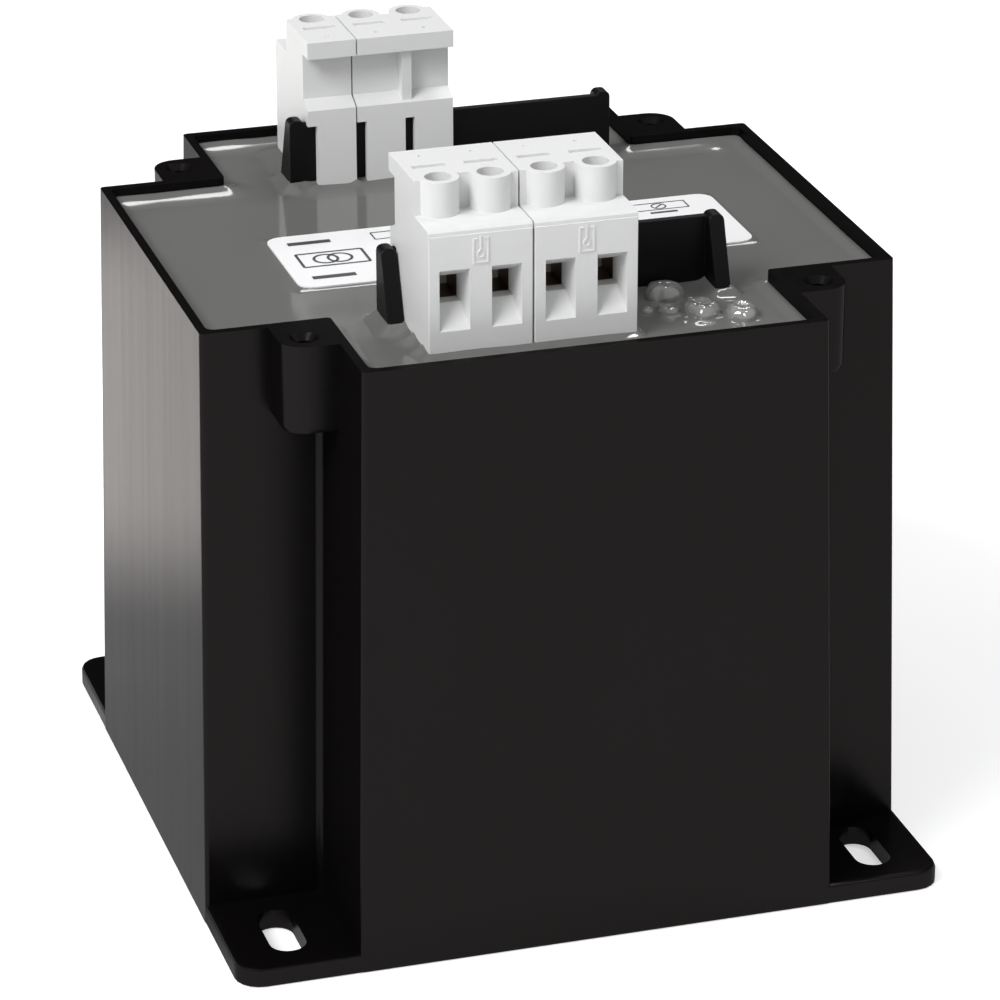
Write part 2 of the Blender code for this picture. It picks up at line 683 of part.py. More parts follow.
def module_entries(poles):
    """Wire entries: a funnel from the wiring face, then a straight throat to the clamp."""
    funnels = bmesh.new()
    throats = bmesh.new()
    for x in pole_offsets(poles):
        verts = add_box(funnels, (x - ENTRY_WIDTH / 2, -GAP, ENTRY_LOW), (x + ENTRY_WIDTH / 2, FUNNEL_DEPTH,
                                                                        ENTRY_HIGH))
        for vert in verts:
            if vert.co.y > 0.0:
                vert.co.x = x + (THROAT_WIDTH / 2 if vert.co.x > x else -THROAT_WIDTH / 2)
                vert.co.z = THROAT_TOP if vert.co.z > THROAT_LOW else THROAT_LOW
        add_box(throats, (x - THROAT_WIDTH / 2, FUNNEL_DEPTH - GAP, THROAT_LOW),
                (x + THROAT_WIDTH / 2, TOWER_DEPTH, THROAT_TOP))
    return funnels, throats


def module_marks(poles):
    """Marking slot and dot on top of each pole."""
    bm = bmesh.new()
    for x in pole_offsets(poles):
        add_box(bm, (x - MARK_WIDTH / 2, MARK_DEPTH - MARK_LENGTH / 2, TOP_HEIGHT - MARK_SINK),
                (x + MARK_WIDTH / 2, MARK_DEPTH + MARK_LENGTH / 2, TOP_HEIGHT + GAP))
        add_cylinder(bm, DOT_RADIUS, TOP_HEIGHT - DOT_SINK, TOP_HEIGHT + GAP, (x, DOT_DEPTH), 8)
    return bm


def module_leg_gaps(poles):
    """Gaps that part the inner wall into one leg for each pole."""
    bm = bmesh.new()
    half = module_width(poles) / 2
    for x in pole_offsets(poles):
        right = x + POLE_PITCH / 2
        last = right > half - GAP
        add_box(bm, (right - LEG_GAP, PLATE_SLOT_BACK + GAP, -SET_IN - GAP),
                (right + (GAP if last else 0.0), LIP_DEPTH, LEG_TOP))
    return bm


def build_module(name, poles, side, centre_x):
    half = module_width(poles) / 2
    bm = bmesh.new()
    add_outline(bm, [(-half, depth, height) for depth, height in module_profile()],
                2 * half, (1.0, 0.0, 0.0))
    wiring_corners = edges_where(bm, lambda a, b: is_upright(a, b) and max(a.y, b.y) < GAP)
    round_edges(bm, wiring_corners, MODULE_EDGE_RADIUS, 2)
    module = make_object(name, bm, PARTS, WHITE_PLASTIC)
    funnels, throats = module_entries(poles)
    steps = []
    if poles > 1:
        steps += [("valleys", module_valleys(poles), "DIFFERENCE"), ("ribs", module_ribs(poles), "UNION")]
    steps.append(("towers", module_towers(poles), "UNION"))
    steps += [("chambers", module_chambers(poles), "DIFFERENCE"),
              ("bores", module_bores(poles), "DIFFERENCE"),
              ("bar_slots", module_bar_slots(poles), "DIFFERENCE"),
              ("tail_slots", module_tail_slots(poles), "DIFFERENCE"),
              ("throats", throats, "DIFFERENCE"),
              ("funnels", funnels, "DIFFERENCE"),
              ("marks", module_marks(poles), "DIFFERENCE"),
              ("leg_gaps", module_leg_gaps(poles), "DIFFERENCE")]
    for label, tool_bm, operation in steps:
        tool = make_cutter(name + "_" + label, tool_bm)
        place_in_row(tool, side, centre_x, 0.0, 0.0)
        combine(module, tool, operation)
    place_in_row(module, side, centre_x, 0.0, 0.0)


def build_cage(name, side, x):
    """Lift clamp: a square loop that the wire enters, threaded in its upper wall."""
    half = CAGE_SIZE / 2
    bm = bmesh.new()
    add_box(bm, (-half, -half, CAGE_FOOT), (half, half, CAGE_TOP))
    round_edges(bm, edges_where(bm, lambda a, b: abs(a.y - b.y) > GAP), CAGE_WALL, 2)
    cage = make_object(name, bm, PARTS, PLATED_STEEL)
    inner = half - CAGE_WALL
    window = bmesh.new()
    add_box(window, (-inner, -half - GAP, CAGE_FOOT + CAGE_WALL), (inner, half + GAP, CAGE_CEILING))
    hole = bmesh.new()
    add_cylinder(hole, SCREW_RADIUS + RUNNING_GAP, CAGE_CEILING - GAP, CAGE_TOP + GAP)
    for label, tool_bm in (("window", window), ("thread", hole)):
        tool = make_cutter(name + "_" + label, tool_bm)
        place_in_row(tool, side, x, TOWER_DEPTH, 0.0)
        combine(cage, tool, "DIFFERENCE")
    place_in_row(cage, side, x, TOWER_DEPTH, 0.0)


def build_screw(name, side, x):
    head_top = HEAD_FOOT + SCREW_HEAD_HEIGHT
    profile = [(0.0, head_top), (SCREW_HEAD_RADIUS - SCREW_TIP_CHAMFER / 2, head_top),
               (SCREW_HEAD_RADIUS, head_top - SCREW_TIP_CHAMFER / 2), (SCREW_HEAD_RADIUS, HEAD_FOOT),
               (SCREW_RADIUS, HEAD_FOOT), (SCREW_RADIUS, SCREW_TIP + SCREW_TIP_CHAMFER),
               (SCREW_RADIUS - SCREW_TIP_CHAMFER, SCREW_TIP), (0.0, SCREW_TIP)]
    bm = bmesh.new()
    add_turned(bm, profile)
    screw = make_object(name, bm, PARTS, PLATED_STEEL)
    slot = bmesh.new()
    add_box(slot, (-SCREW_HEAD_RADIUS - GAP, -SCREW_SLOT_WIDTH / 2, head_top - SCREW_SLOT_DEPTH),
            (SCREW_HEAD_RADIUS + GAP, SCREW_SLOT_WIDTH / 2, head_top + GAP))
    tool = make_cutter(name + "_slot", slot)
    place_in_row(tool, side, x, TOWER_DEPTH, 0.0)
    combine(screw, tool, "DIFFERENCE")
    place_in_row(screw, side, x, TOWER_DEPTH, 0.0)
    shade_round(screw)


def build_bar(name, side, x):
    """Brass bar above the wire, bent down at the back into a tail for its lead."""
    front = -CAGE_SIZE / 2
    tail_foot = -SET_IN - TAIL_BELOW_FOOT
    side_view = [(front, BAR_LOW), (front, BAR_TOP), (BAR_REACH, BAR_TOP), (BAR_REACH, tail_foot),
                 (BAR_REACH - BAR_THICKNESS, tail_foot), (BAR_REACH - BAR_THICKNESS, BAR_LOW)]
    bm = bmesh.new()
    add_outline(bm, [(-BAR_WIDTH / 2, y, z) for y, z in side_view], BAR_WIDTH, (1.0, 0.0, 0.0))
    bar = make_object(name, bm, PARTS, BRASS)
    place_in_row(bar, side, x, TOWER_DEPTH, 0.0)


def row_modules(side):
    """Modules of a row from its left cheek on: name, poles and centre in X."""
    centre = FRONT_HOLDER_X if side < 0 else REAR_HOLDER_X
    x = centre - HOLDER_WIDTH / 2 + CHEEK_WIDTH + GAP
    if side < 0:
        wanted = [("front_terminal_module_left", 2), ("front_terminal_module_right", 2)]
    else:
        wanted = [("rear_terminal_module_single", 1), ("rear_terminal_module_double", 2)]
    modules = []
    for name, poles in wanted:
        modules.append((name, poles, x + module_width(poles) / 2))
        x += module_width(poles) + GAP
    return modules


def row_poles(side):
    """Centre in X of every pole of a row, left to right."""
    places = []
    for _, poles, centre in row_modules(side):
        places += [centre + offset for offset in pole_offsets(poles)]
    return places


def row_label(side):
    return "front" if side < 0 else "rear"


def build_row(side):
    label = row_label(side)
    build_holder(label + "_terminal_holder", FRONT_HOLDER_X if side < 0 else REAR_HOLDER_X, side)
    for name, poles, centre in row_modules(side):
        build_module(name, poles, side, centre)
    for number, x in enumerate(row_poles(side), start=1):
        build_cage(f"{label}_clamp_{number}", side, x)
        build_screw(f"{label}_screw_{number}", side, x)
        build_bar(f"{label}_bar_{number}", side, x)


def all_poles():
    """Every pole as its side, its number in the row and its centre in X."""
    return [(side, number, x) for side in (-1, 1) for number, x in enumerate(row_poles(side), start=1)]


def lead_ends(side):
    """Foot and head of a lead as (y, z), from its winding up to the bar's tail."""
    inner, outer = coil_layers()["primary" if side < 0 else "secondary"]
    landing = coil_half((inner + outer) / 2)[1]
    tail = FACE_Y - (TAIL_DEPTH - BAR_THICKNESS / 2)
    foot = FLANGE_TOP_OF_COIL - FORMER_FLANGE + LEAD_END_LIFT
    head = RESIN_LEVEL - SET_IN - TAIL_BELOW_FOOT - GAP - LEAD_END_LIFT
    return Vector((0.0, side * landing, foot)), Vector((0.0, side * tail, head))


def lead_bmesh(side, x, grow=0.0):
    """One straight lead, or with grow the longer and wider room that it needs."""
    foot, head = lead_ends(side)
    along = (head - foot).normalized()
    length = (head - foot).length + 2 * (grow + (LEAD_END_LIFT + GAP if grow else 0.0))
    turn = Vector((0.0, 0.0, 1.0)).rotation_difference(along).to_matrix().to_4x4()
    matrix = Matrix.Translation((foot + head) / 2 + Vector((x, 0.0, 0.0))) @ turn
    bm = bmesh.new()
    bmesh.ops.create_cone(bm, cap_ends=True, segments=10, radius1=LEAD_RADIUS + grow,
                          radius2=LEAD_RADIUS + grow, depth=length, matrix=matrix)
    return bm


def build_leads():
    for side, number, x in all_poles():
        shade_round(make_object(f"{row_label(side)}_lead_{number}", lead_bmesh(side, x), PARTS, LEAD_SLEEVE))


def row_box(side, x_low, x_high, depth_low, depth_high, low, high):
    """Corners of a world box given in a row's depths and heights."""
    ys = sorted(side * (FACE_Y - depth) for depth in (depth_low, depth_high))
    return (x_low, ys[0], RESIN_LEVEL + low), (x_high, ys[1], RESIN_LEVEL + high)


def resin_row_pockets(side):
    """Pockets that the modules and bar tails of one row leave in the resin."""
    modules = row_modules(side)
    first = modules[0][2] - module_width(modules[0][1]) / 2 - GAP
    last = modules[-1][2] + module_width(modules[-1][1]) / 2 + GAP
    block = bmesh.new()
    add_box(block, *row_box(side, first, last, -GAP, LEG_FACE_DEPTH + GAP, -SET_IN - GAP, TRIM_OVERLAP))
    tails = bmesh.new()
    half = BAR_WIDTH / 2 + GAP
    for x in row_poles(side):
        add_box(tails, *row_box(side, x - half, x + half, TAIL_DEPTH - BAR_THICKNESS - GAP,
                                TAIL_DEPTH + GAP, -SET_IN - TAIL_BELOW_FOOT - GAP, -SET_IN))
    return block, tails


def resin_holder_pocket(side):
    centre = FRONT_HOLDER_X if side < 0 else REAR_HOLDER_X
    half = HOLDER_WIDTH / 2 + GAP
    plate = bmesh.new()
    foot = FLANGE_TOP_OF_COIL - RESIN_LEVEL
    add_box(plate, *row_box(side, centre - half, centre + half, FACE_REACH - PLATE_THICKNESS - GAP,
                            FACE_REACH + GAP, foot, TRIM_OVERLAP))
    cheeks = bmesh.new()
    lean = (CHEEK_FOOT_DEPTH - CHEEK_TOP_DEPTH) / CHEEK_HEIGHT
    reach = CHEEK_FOOT_DEPTH + lean * SET_IN
    for x in (centre - half, centre + half - CHEEK_WIDTH - 2 * GAP):
        add_box(cheeks, *row_box(side, x, x + CHEEK_WIDTH + 2 * GAP, FACE_REACH - reach - GAP,
                                 FACE_REACH + GAP, -SET_IN - GAP, TRIM_OVERLAP))
    return plate, cheeks


def build_resin():
    bm = bmesh.new()
    add_cross_prism(bm, FLOOR + GAP, RESIN_LEVEL, WALL + GAP, 0.0, 0.0,
                    NOTCH_FILLET_RADIUS, CASE_EDGE_RADIUS)
    resin = make_object("potting_resin", bm, PARTS, GREY_RESIN)
    core = bmesh.new()
    half = (CORE_LENGTH / 2 + GAP, CORE_STACK / 2 + GAP)
    add_box(core, (-half[0], -half[1], FLOOR - GAP),
            (half[0], half[1], WINDOW_TOP + GAP + CORE_YOKE + GAP))
    coil = bmesh.new()
    add_rounded_slab(coil, coil_half(COIL_BUILD + GAP), WINDOW_FOOT, WINDOW_TOP, FORMER_CORNER_RADIUS)
    combine(resin, make_cutter("core_pocket", core), "DIFFERENCE")
    combine(resin, make_cutter("coil_pocket", coil), "DIFFERENCE")
    for side in (-1, 1):
        label = row_label(side)
        block, tails = resin_row_pockets(side)
        plate, cheeks = resin_holder_pocket(side)
        for part, tool_bm in (("plate", plate), ("cheeks", cheeks), ("block", block),
                              ("tails", tails)):
            combine(resin, make_cutter(f"{label}_{part}_pocket", tool_bm), "DIFFERENCE")
    for side, number, x in all_poles():
        pocket = make_cutter(f"{row_label(side)}_lead_pocket_{number}", lead_bmesh(side, x, GAP))
        combine(resin, pocket, "DIFFERENCE")


def build_label():
    x, y = LABEL_CENTRE
    foot = RESIN_LEVEL + GAP
    bm = bmesh.new()
    add_box(bm, (x - LABEL_WIDTH / 2, y - LABEL_DEPTH / 2, foot),
            (x + LABEL_WIDTH / 2, y + LABEL_DEPTH / 2, foot + LABEL_THICKNESS))
    corners = edges_where(bm, lambda a, b: abs(a.z - b.z) > GAP / 2)
    round_edges(bm, corners, LABEL_CORNER_RADIUS, 4)
    make_object("rating_label", bm, PARTS, WHITE_LABEL)


def build_drops():
    """Low domes of resin, each cut flat where it sits on the surface."""
    foot = RESIN_LEVEL + GAP
    _, poles, centre = row_modules(-1)[-1]
    for number, (offset, depth, half_x, half_y, height) in enumerate(RESIN_DROPS, start=1):
        x = centre + module_width(poles) / 2 + offset
        y = depth - FACE_Y
        dome = bmesh.new()
        shape = Matrix.Translation((x, y, foot)) @ Matrix.Diagonal((half_x, half_y, height, 1.0))
        bmesh.ops.create_uvsphere(dome, u_segments=16, v_segments=10, radius=1.0, matrix=shape)
        cut = bmesh.ops.bisect_plane(dome, geom=dome.verts[:] + dome.edges[:] + dome.faces[:],
                                     dist=1e-7, plane_co=(x, y, foot),
                                     plane_no=(0.0, 0.0, 1.0), clear_inner=True)
        rim = [item for item in cut["geom_cut"] if isinstance(item, bmesh.types.BMEdge)]
        bmesh.ops.holes_fill(dome, edges=rim)
        shade_round(make_object(f"resin_drop_{number}", dome, PARTS, CLEAR_RESIN))


clear_scene()
PARTS = new_collection("control_transformer")
CUTTERS = new_collection("cutters")
BLACK_PLASTIC = plastic("black_plastic", (0.018, 0.017, 0.018), 0.38)
WHITE_PLASTIC = plastic("white_plastic", (0.74, 0.76, 0.75), 0.42)
GREY_RESIN = plastic("grey_resin", (0.085, 0.088, 0.083), 0.12)
CLEAR_RESIN = plastic("clear_resin", (0.55, 0.55, 0.50), 0.06)
WHITE_LABEL = plastic("white_label", (0.90, 0.90, 0.90), 0.35)
PLATED_STEEL = plastic("plated_steel", (0.55, 0.52, 0.45), 0.32, 1.0)
BRASS = plastic("brass", (0.60, 0.42, 0.18), 0.30, 1.0)
STEEL = plastic("electrical_steel", (0.20, 0.20, 0.21), 0.45, 1.0)
ENAMELLED_COPPER = plastic("enamelled_copper", (0.45, 0.16, 0.06), 0.35, 0.6)
NATURAL_NYLON = plastic("natural_nylon", (0.62, 0.58, 0.48), 0.50)
INSULATION_PAPER = plastic("insulation_paper", (0.55, 0.45, 0.20), 0.60)
LEAD_SLEEVE = plastic("lead_sleeve", (0.30, 0.05, 0.04), 0.55)

build_housing()
build_core()
build_coil()
build_leads()
build_resin()
build_label()
build_drops()
build_row(-1)
build_row(1)
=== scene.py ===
"""Looks of the potted control transformer: materials, resin details, label print and light.

Lengths are in metres in the frame of the solids: +Z up, -Y towards the row of four poles.
"""
from math import cos, exp, pi, radians, sin

import bmesh
import bpy
import numpy as np
from mathutils import Matrix, Vector, noise


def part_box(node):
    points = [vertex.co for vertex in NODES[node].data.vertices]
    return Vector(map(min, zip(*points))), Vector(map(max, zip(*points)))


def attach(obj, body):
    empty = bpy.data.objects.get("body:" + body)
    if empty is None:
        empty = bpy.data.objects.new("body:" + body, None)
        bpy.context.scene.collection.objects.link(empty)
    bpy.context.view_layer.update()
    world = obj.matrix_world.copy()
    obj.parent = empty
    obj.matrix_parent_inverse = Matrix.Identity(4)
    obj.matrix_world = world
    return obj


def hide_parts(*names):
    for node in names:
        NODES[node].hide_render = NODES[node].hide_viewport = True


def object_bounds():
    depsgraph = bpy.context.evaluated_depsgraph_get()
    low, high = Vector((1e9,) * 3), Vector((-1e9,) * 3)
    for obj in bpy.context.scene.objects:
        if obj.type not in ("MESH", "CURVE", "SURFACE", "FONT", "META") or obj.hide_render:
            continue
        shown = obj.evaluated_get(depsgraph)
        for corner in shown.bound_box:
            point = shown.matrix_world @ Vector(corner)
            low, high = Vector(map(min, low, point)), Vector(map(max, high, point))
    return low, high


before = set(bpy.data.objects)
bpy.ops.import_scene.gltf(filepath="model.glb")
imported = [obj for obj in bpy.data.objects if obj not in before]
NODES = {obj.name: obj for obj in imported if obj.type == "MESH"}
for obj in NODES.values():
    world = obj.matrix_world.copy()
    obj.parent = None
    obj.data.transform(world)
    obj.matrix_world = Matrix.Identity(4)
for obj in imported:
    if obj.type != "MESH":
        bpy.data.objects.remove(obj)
cad_low, cad_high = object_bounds()

# Camera, fitted to the photograph
CAMERA_PLACE = Vector((-0.24318, -0.80773, 0.42326))
CAMERA_LOOK = Vector((0.26712, 0.87914, -0.39467))
CAMERA_ROLL = radians(-0.09)
CAMERA_LENS = 166.6
SENSOR_WIDTH = 36.0

# World: its strength round the camera's side, behind the object, and where it fades
WORLD_COLOUR = (0.99, 0.99, 1.0, 1.0)
WORLD_LIGHT = 0.50
WALL_LIGHT = 0.06
WORLD_FADE = (0.1, 0.7)

# Floor: its half width, the gap under the object, and the light it shows to the camera and gloss
FLOOR_REACH = 6.0
FLOOR_GAP = 0.0002
FLOOR_COLOUR = (0.80, 0.80, 0.80, 1.0)
FLOOR_LIFT = 0.48
WHITE = (1.0, 1.0, 1.0, 1.0)

# Lamps: place, target, size and power
AREA_LAMPS = {
    "key": ((-0.68, -0.40, 0.92), (0.0, 0.0, 0.10), (0.5, 0.5), 9.2),
    "overhead": ((0.31, 0.10, 1.12), (0.0, 0.0, 0.11), (0.07, 0.30), 2.2),
    "strip_behind": ((0.27, 0.73, 0.81), (0.0, 0.0, 0.11), (0.36, 0.11), 1.2),
}

# A pool of light on the floor behind, which the left side of the case mirrors
POOL_PLACE = (-0.17, 0.32, 0.90)
POOL_TARGET = (-0.157, 0.236, 0.0)
POOL_CONE = radians(16.6)
POOL_BLEND = 0.25
POOL_SOFTNESS = 0.03
POOL_COLOUR = (1.0, 0.93, 0.90)
POOL_POWER = 116.0

# Noise of the materials: patches of colour, streaks along Z, and the grain of the surface
PATCH_NOISE = {"Detail": 4.0, "Roughness": 0.6}
STREAK_NOISE = {"Scale": 1.0, "Detail": 5.0, "Roughness": 0.7}
STREAK_SPAN = (0.3, 0.7)
GRAIN_NOISE = {"Detail": 3.0, "Roughness": 0.55}

# Half clear resin: milky inside, with a hard gloss
CLEAR_TRANSMISSION = 0.74
CLEAR_COAT = 1.0
CLEAR_COAT_IOR = 1.9
CLEAR_COAT_ROUGHNESS = 0.01

# The case's fine grain shines head on and gains little at a flat view: low IOR, tint over one
CASE_TINT = (19.0, 17.9, 17.3, 1.0)

# Core sheets and turns of wire: their pitch and the bump of each. A wave texture has this many
# bands in a unit of length at a scale of one
SHEET_PITCH = 0.0005
SHEET_BUMP = {"Strength": 0.6, "Distance": 0.0001}
WIRE_PITCH = 0.0011
WIRE_BUMP = {"Strength": 0.8, "Distance": 0.0002}
BANDS_PER_SCALE = 10.0 / pi

# Resin surface: grid step, lift over the cast level, and how far it goes into what stands in it
SKIN_STEP = 0.0005
SKIN_LIFT = 0.00006
SKIN_INTO_WALL = 0.0006
SKIN_UNDER_PIECE = 0.00035

# Height and reach of the resin's rise at each kind of edge, the power of its hollow curve, and
# the power by which rises that meet are blended
WALL_RISE = (0.0007, 0.0030)
REAR_WALL_RISE = (0.0011, 0.0062)
BLOCK_RISE = (0.0012, 0.0024)
REAR_BLOCK_RISE = (0.0013, 0.0050)
PLATE_RISE = (0.0011, 0.0024)
CHEEK_RISE = (0.0016, 0.0026)
DROP_RISE = (0.0005, 0.0014)
LABEL_RISE = (0.00026, 0.0012)
RISE_POWER = 1.5
BLEND_POWER = 3
DROP_FOOTPRINT = 0.36

# Unevenness: how fast it changes, where in the noise it lies, and its share or height
UNEVEN_SCALE, UNEVEN_LAYER, UNEVEN_SHARE = 110.0, 3.7, 0.15
CALM_SCALE, CALM_LAYER, CALM_HEIGHT = 55.0, 9.1, 0.00003

# Swells of the resin: X, Y, spread and height, at the front block's corner and in the leg gaps
RESIN_SWELLS = [(-0.0303, -0.0500, 0.0010, 0.0008), (-0.0302, -0.0560, 0.0009, 0.0006),
                (-0.0290, 0.0345, 0.0007, 0.0007), (-0.0262, 0.0340, 0.0008, 0.0006),
                (-0.0168, 0.0342, 0.0007, 0.0008), (-0.0066, 0.0342, 0.0007, 0.0007),
                (0.0350, -0.0440, 0.0010, 0.0006), (0.0600, 0.0360, 0.0016, 0.0004),
                (0.0240, -0.0560, 0.0012, 0.0005), (0.0285, -0.0470, 0.0010, 0.0006)]

# The resin's solid stops this far from the wall. Its arms' ends are found in a narrow band
RESIN_TO_WALL = 0.0003
END_BAND = 0.002
TOP_BAND = 0.00001

# Sizes of the terminals that a node's box does not give
POLE_PITCH = 0.00985
LEG_GAP = 0.0019
LEG_THICKNESS = 0.0014
PLATE_THICKNESS = 0.0016
CHEEK_WIDTH = 0.0030
CHEEK_SLOPE = 0.0012

# Drops: points round and up, depth of the rim under the surface, size against the solid's, power
# of the rounding, ribs round the drop, and the crater's radius as a share of the drop's
DROP_AROUND = 56
DROP_UP = 18
DROP_SINK = 0.0001
DROP_SPREAD = 1.02
DROP_HEIGHT = 0.98
DROP_ROUNDING = 0.6
DROP_RIBS = 8.0
CRATER_RADIUS = 0.5
DROP_WELD = 0.000002

# Noise of the drops: its scale and share in the outline and on the skin, and the seeds
OUTLINE_NOISE = (1.6, 0.14)
SKIN_NOISE = (2.3, 0.08)
DROP_SEED = 3.1
SPECK_SEED = 11.0

# For each drop the depth of its ribs and of its crater
DROP_SHAPES = {1: (0.04, 0.0), 2: (0.02, 0.34), 3: (0.02, 0.22), 4: (0.0, 0.40)}

# Small drops: X, Y, half width, half depth and height
RESIN_SPECKS = [(0.0164, -0.0478, 0.0012, 0.0013, 0.0010),
                (0.0222, -0.0530, 0.0005, 0.0005, 0.0004),
                (0.0214, -0.0550, 0.0006, 0.0006, 0.0004),
                (0.0290, -0.0470, 0.0009, 0.0008, 0.0008),
                (0.0250, -0.0573, 0.0014, 0.0010, 0.0007),
                (0.0262, -0.0438, 0.0006, 0.0006, 0.0005)]

# Label print: lift over the label, thickness, line widths and the margin at the ends
PRINT_LIFT = 0.00004
PRINT_THICKNESS = 0.00002
RULE_WIDTH = 0.00030
HEAVY_RULE = 0.00055
PRINT_MARGIN = 0.0035
RING_STEPS = 28

# The rows at the label's long sides: inset of a row's two edges, title bar (length, width) and
# cells. A cell has a ring (place, radius), a stroke over it (start, end, inset from the cell's
# edges), and a bar (start, end, width) this far outside the cell
ROW_INSET = (0.0028, 0.0066)
TITLE_BAR = (0.0085, 0.0016)
CELL_COUNT = 4
CELL_START = 0.0170
CELL_PITCH = 0.0175
CELL_WIDTH = 0.0115
CELL_RING = (0.0058, 0.0014)
CELL_STROKE = (0.0048, 0.0068, 0.0009)
CELL_BAR = (0.0030, 0.0086, 0.0008)
CELL_BAR_OUTSIDE = 0.0016

# The box with two rings in the middle: width, half height, and the rings' place and size
SIGN_BOX = (0.0130, 0.0036)
SIGN_RINGS = (0.0065, 0.0014, 0.0023)

# Bars in the middle: start and end from the left margin, height over the middle, and width
MIDDLE_BARS = [(0.0160, 0.0330, 0.0010, 0.0024), (0.0160, 0.0420, -0.0026, 0.0012),
               (0.0470, 0.0560, 0.0010, 0.0014), (0.0590, 0.0730, 0.0010, 0.0014),
               (0.0760, 0.0820, 0.0010, 0.0014)]
MIDDLE_RULE = (0.0160, -0.0010)

# Raised clamp signs: height of the ribbon, width at its foot, and the share of that at its top
MARK_LIFT = 0.00018
MARK_LINE = 0.00042
MARK_TOP_SHARE = 0.6
SHARPEST_MITRE = 0.5

# Their frame over the resin's level, its half width, height and half mouth, and their screw
MARK_FOOT = 0.0179
MARK_HALF_WIDTH = 0.00135
MARK_HEIGHT = 0.0045
MARK_MOUTH = 0.00065
SCREW_RING_HEIGHT = 0.0016
SCREW_RING_RADIUS = 0.00062
SCREW_RING_STEPS = 18
SCREW_TOP = 0.0050

# Softened edges: bevel width for each kind of node, or nought where it is only shaded smooth
EDGE_WIDTHS = [("housing", 0.00022), ("_module_", 0.00016), ("_holder", 0.0003), ("_screw_", 0.0),
               ("_clamp_", 0.0), ("_lead_", 0.0)]
EDGE_SEGMENTS = 2
EDGE_ANGLE = radians(30.0)
SMOOTH_ANGLE = radians(32.0)
FLAT_ANGLE = radians(0.3)
NODE_WELD = 0.000001


# Camera and stage

def make_camera():
    data = bpy.data.cameras.new("camera")
    data.lens = CAMERA_LENS
    data.sensor_width = SENSOR_WIDTH
    camera = bpy.data.objects.new("camera", data)
    bpy.context.scene.collection.objects.link(camera)
    right = CAMERA_LOOK.cross(Vector((0.0, 0.0, 1.0))).normalized()
    up = right.cross(CAMERA_LOOK).normalized()
    rolled_right = cos(CAMERA_ROLL) * right + sin(CAMERA_ROLL) * up
    rolled_up = cos(CAMERA_ROLL) * up - sin(CAMERA_ROLL) * right
    turn = Matrix((rolled_right, rolled_up, -CAMERA_LOOK.normalized())).transposed()
    camera.matrix_world = Matrix.Translation(CAMERA_PLACE) @ turn.to_4x4()
    bpy.context.scene.camera = camera


def add_node(tree, kind, **inputs):
    node = tree.nodes.new(kind)
    for name, value in inputs.items():
        node.inputs[name].default_value = value
    return node


def make_world():
    """Even grey light from all round, fading to a dark studio wall behind the object."""
    world = bpy.data.worlds.new("studio")
    world.use_nodes = True
    tree = world.node_tree
    shader = tree.nodes["Background"]
    shader.inputs["Color"].default_value = WORLD_COLOUR
    way = tree.nodes.new("ShaderNodeTexCoord")
    behind = tree.nodes.new("ShaderNodeVectorMath")
    behind.operation = "DOT_PRODUCT"
    behind.inputs[1].default_value = (CAMERA_LOOK.x, CAMERA_LOOK.y, 0.0)
    fade = tree.nodes.new("ShaderNodeMapRange")
    fade.inputs["From Min"].default_value, fade.inputs["From Max"].default_value = WORLD_FADE
    fade.inputs["To Min"].default_value = WORLD_LIGHT
    fade.inputs["To Max"].default_value = WALL_LIGHT
    tree.links.new(way.outputs["Generated"], behind.inputs[0])
    tree.links.new(behind.outputs["Value"], fade.inputs["Value"])
    tree.links.new(fade.outputs["Result"], shader.inputs["Strength"])
    bpy.context.scene.world = world


def background_rays(tree):
    """One where a ray comes from the camera, a gloss or glass, and nought elsewhere."""
    path = tree.nodes.new("ShaderNodeLightPath")
    total = path.outputs["Is Camera Ray"]
    for name in ("Is Glossy Ray", "Is Transmission Ray"):
        either = tree.nodes.new("ShaderNodeMath")
        either.operation = "MAXIMUM"
        tree.links.new(total, either.inputs[0])
        tree.links.new(path.outputs[name], either.inputs[1])
        total = either.outputs[0]
    return total


def make_floor():
    """A wide pale floor that keeps the shadow and renders white to the camera."""
    bm = bmesh.new()
    bmesh.ops.create_grid(bm, x_segments=1, y_segments=1, size=FLOOR_REACH)
    mesh = bpy.data.meshes.new("floor")
    bm.to_mesh(mesh)
    bm.free()
    floor = bpy.data.objects.new("floor", mesh)
    floor.location = (0.0, 0.0, cad_low.z - FLOOR_GAP)
    bpy.context.scene.collection.objects.link(floor)
    material = bpy.data.materials.new("floor")
    material.use_nodes = True
    tree = material.node_tree
    tree.nodes.clear()
    out = tree.nodes.new("ShaderNodeOutputMaterial")
    matt = add_node(tree, "ShaderNodeBsdfDiffuse", Color=FLOOR_COLOUR)
    lift = add_node(tree, "ShaderNodeEmission", Color=WHITE)
    amount = tree.nodes.new("ShaderNodeMath")
    amount.operation = "MULTIPLY"
    amount.inputs[1].default_value = FLOOR_LIFT
    total = tree.nodes.new("ShaderNodeAddShader")
    tree.links.new(background_rays(tree), amount.inputs[0])
    tree.links.new(amount.outputs[0], lift.inputs["Strength"])
    tree.links.new(matt.outputs[0], total.inputs[0])
    tree.links.new(lift.outputs[0], total.inputs[1])
    tree.links.new(total.outputs[0], out.inputs["Surface"])
    mesh.materials.append(material)


def place_lamp(name, data, place, target):
    lamp = bpy.data.objects.new(name, data)
    lamp.location = place
    lamp.rotation_mode = "QUATERNION"
    lamp.rotation_quaternion = (Vector(target) - Vector(place)).to_track_quat("-Z", "Y")
    bpy.context.scene.collection.objects.link(lamp)


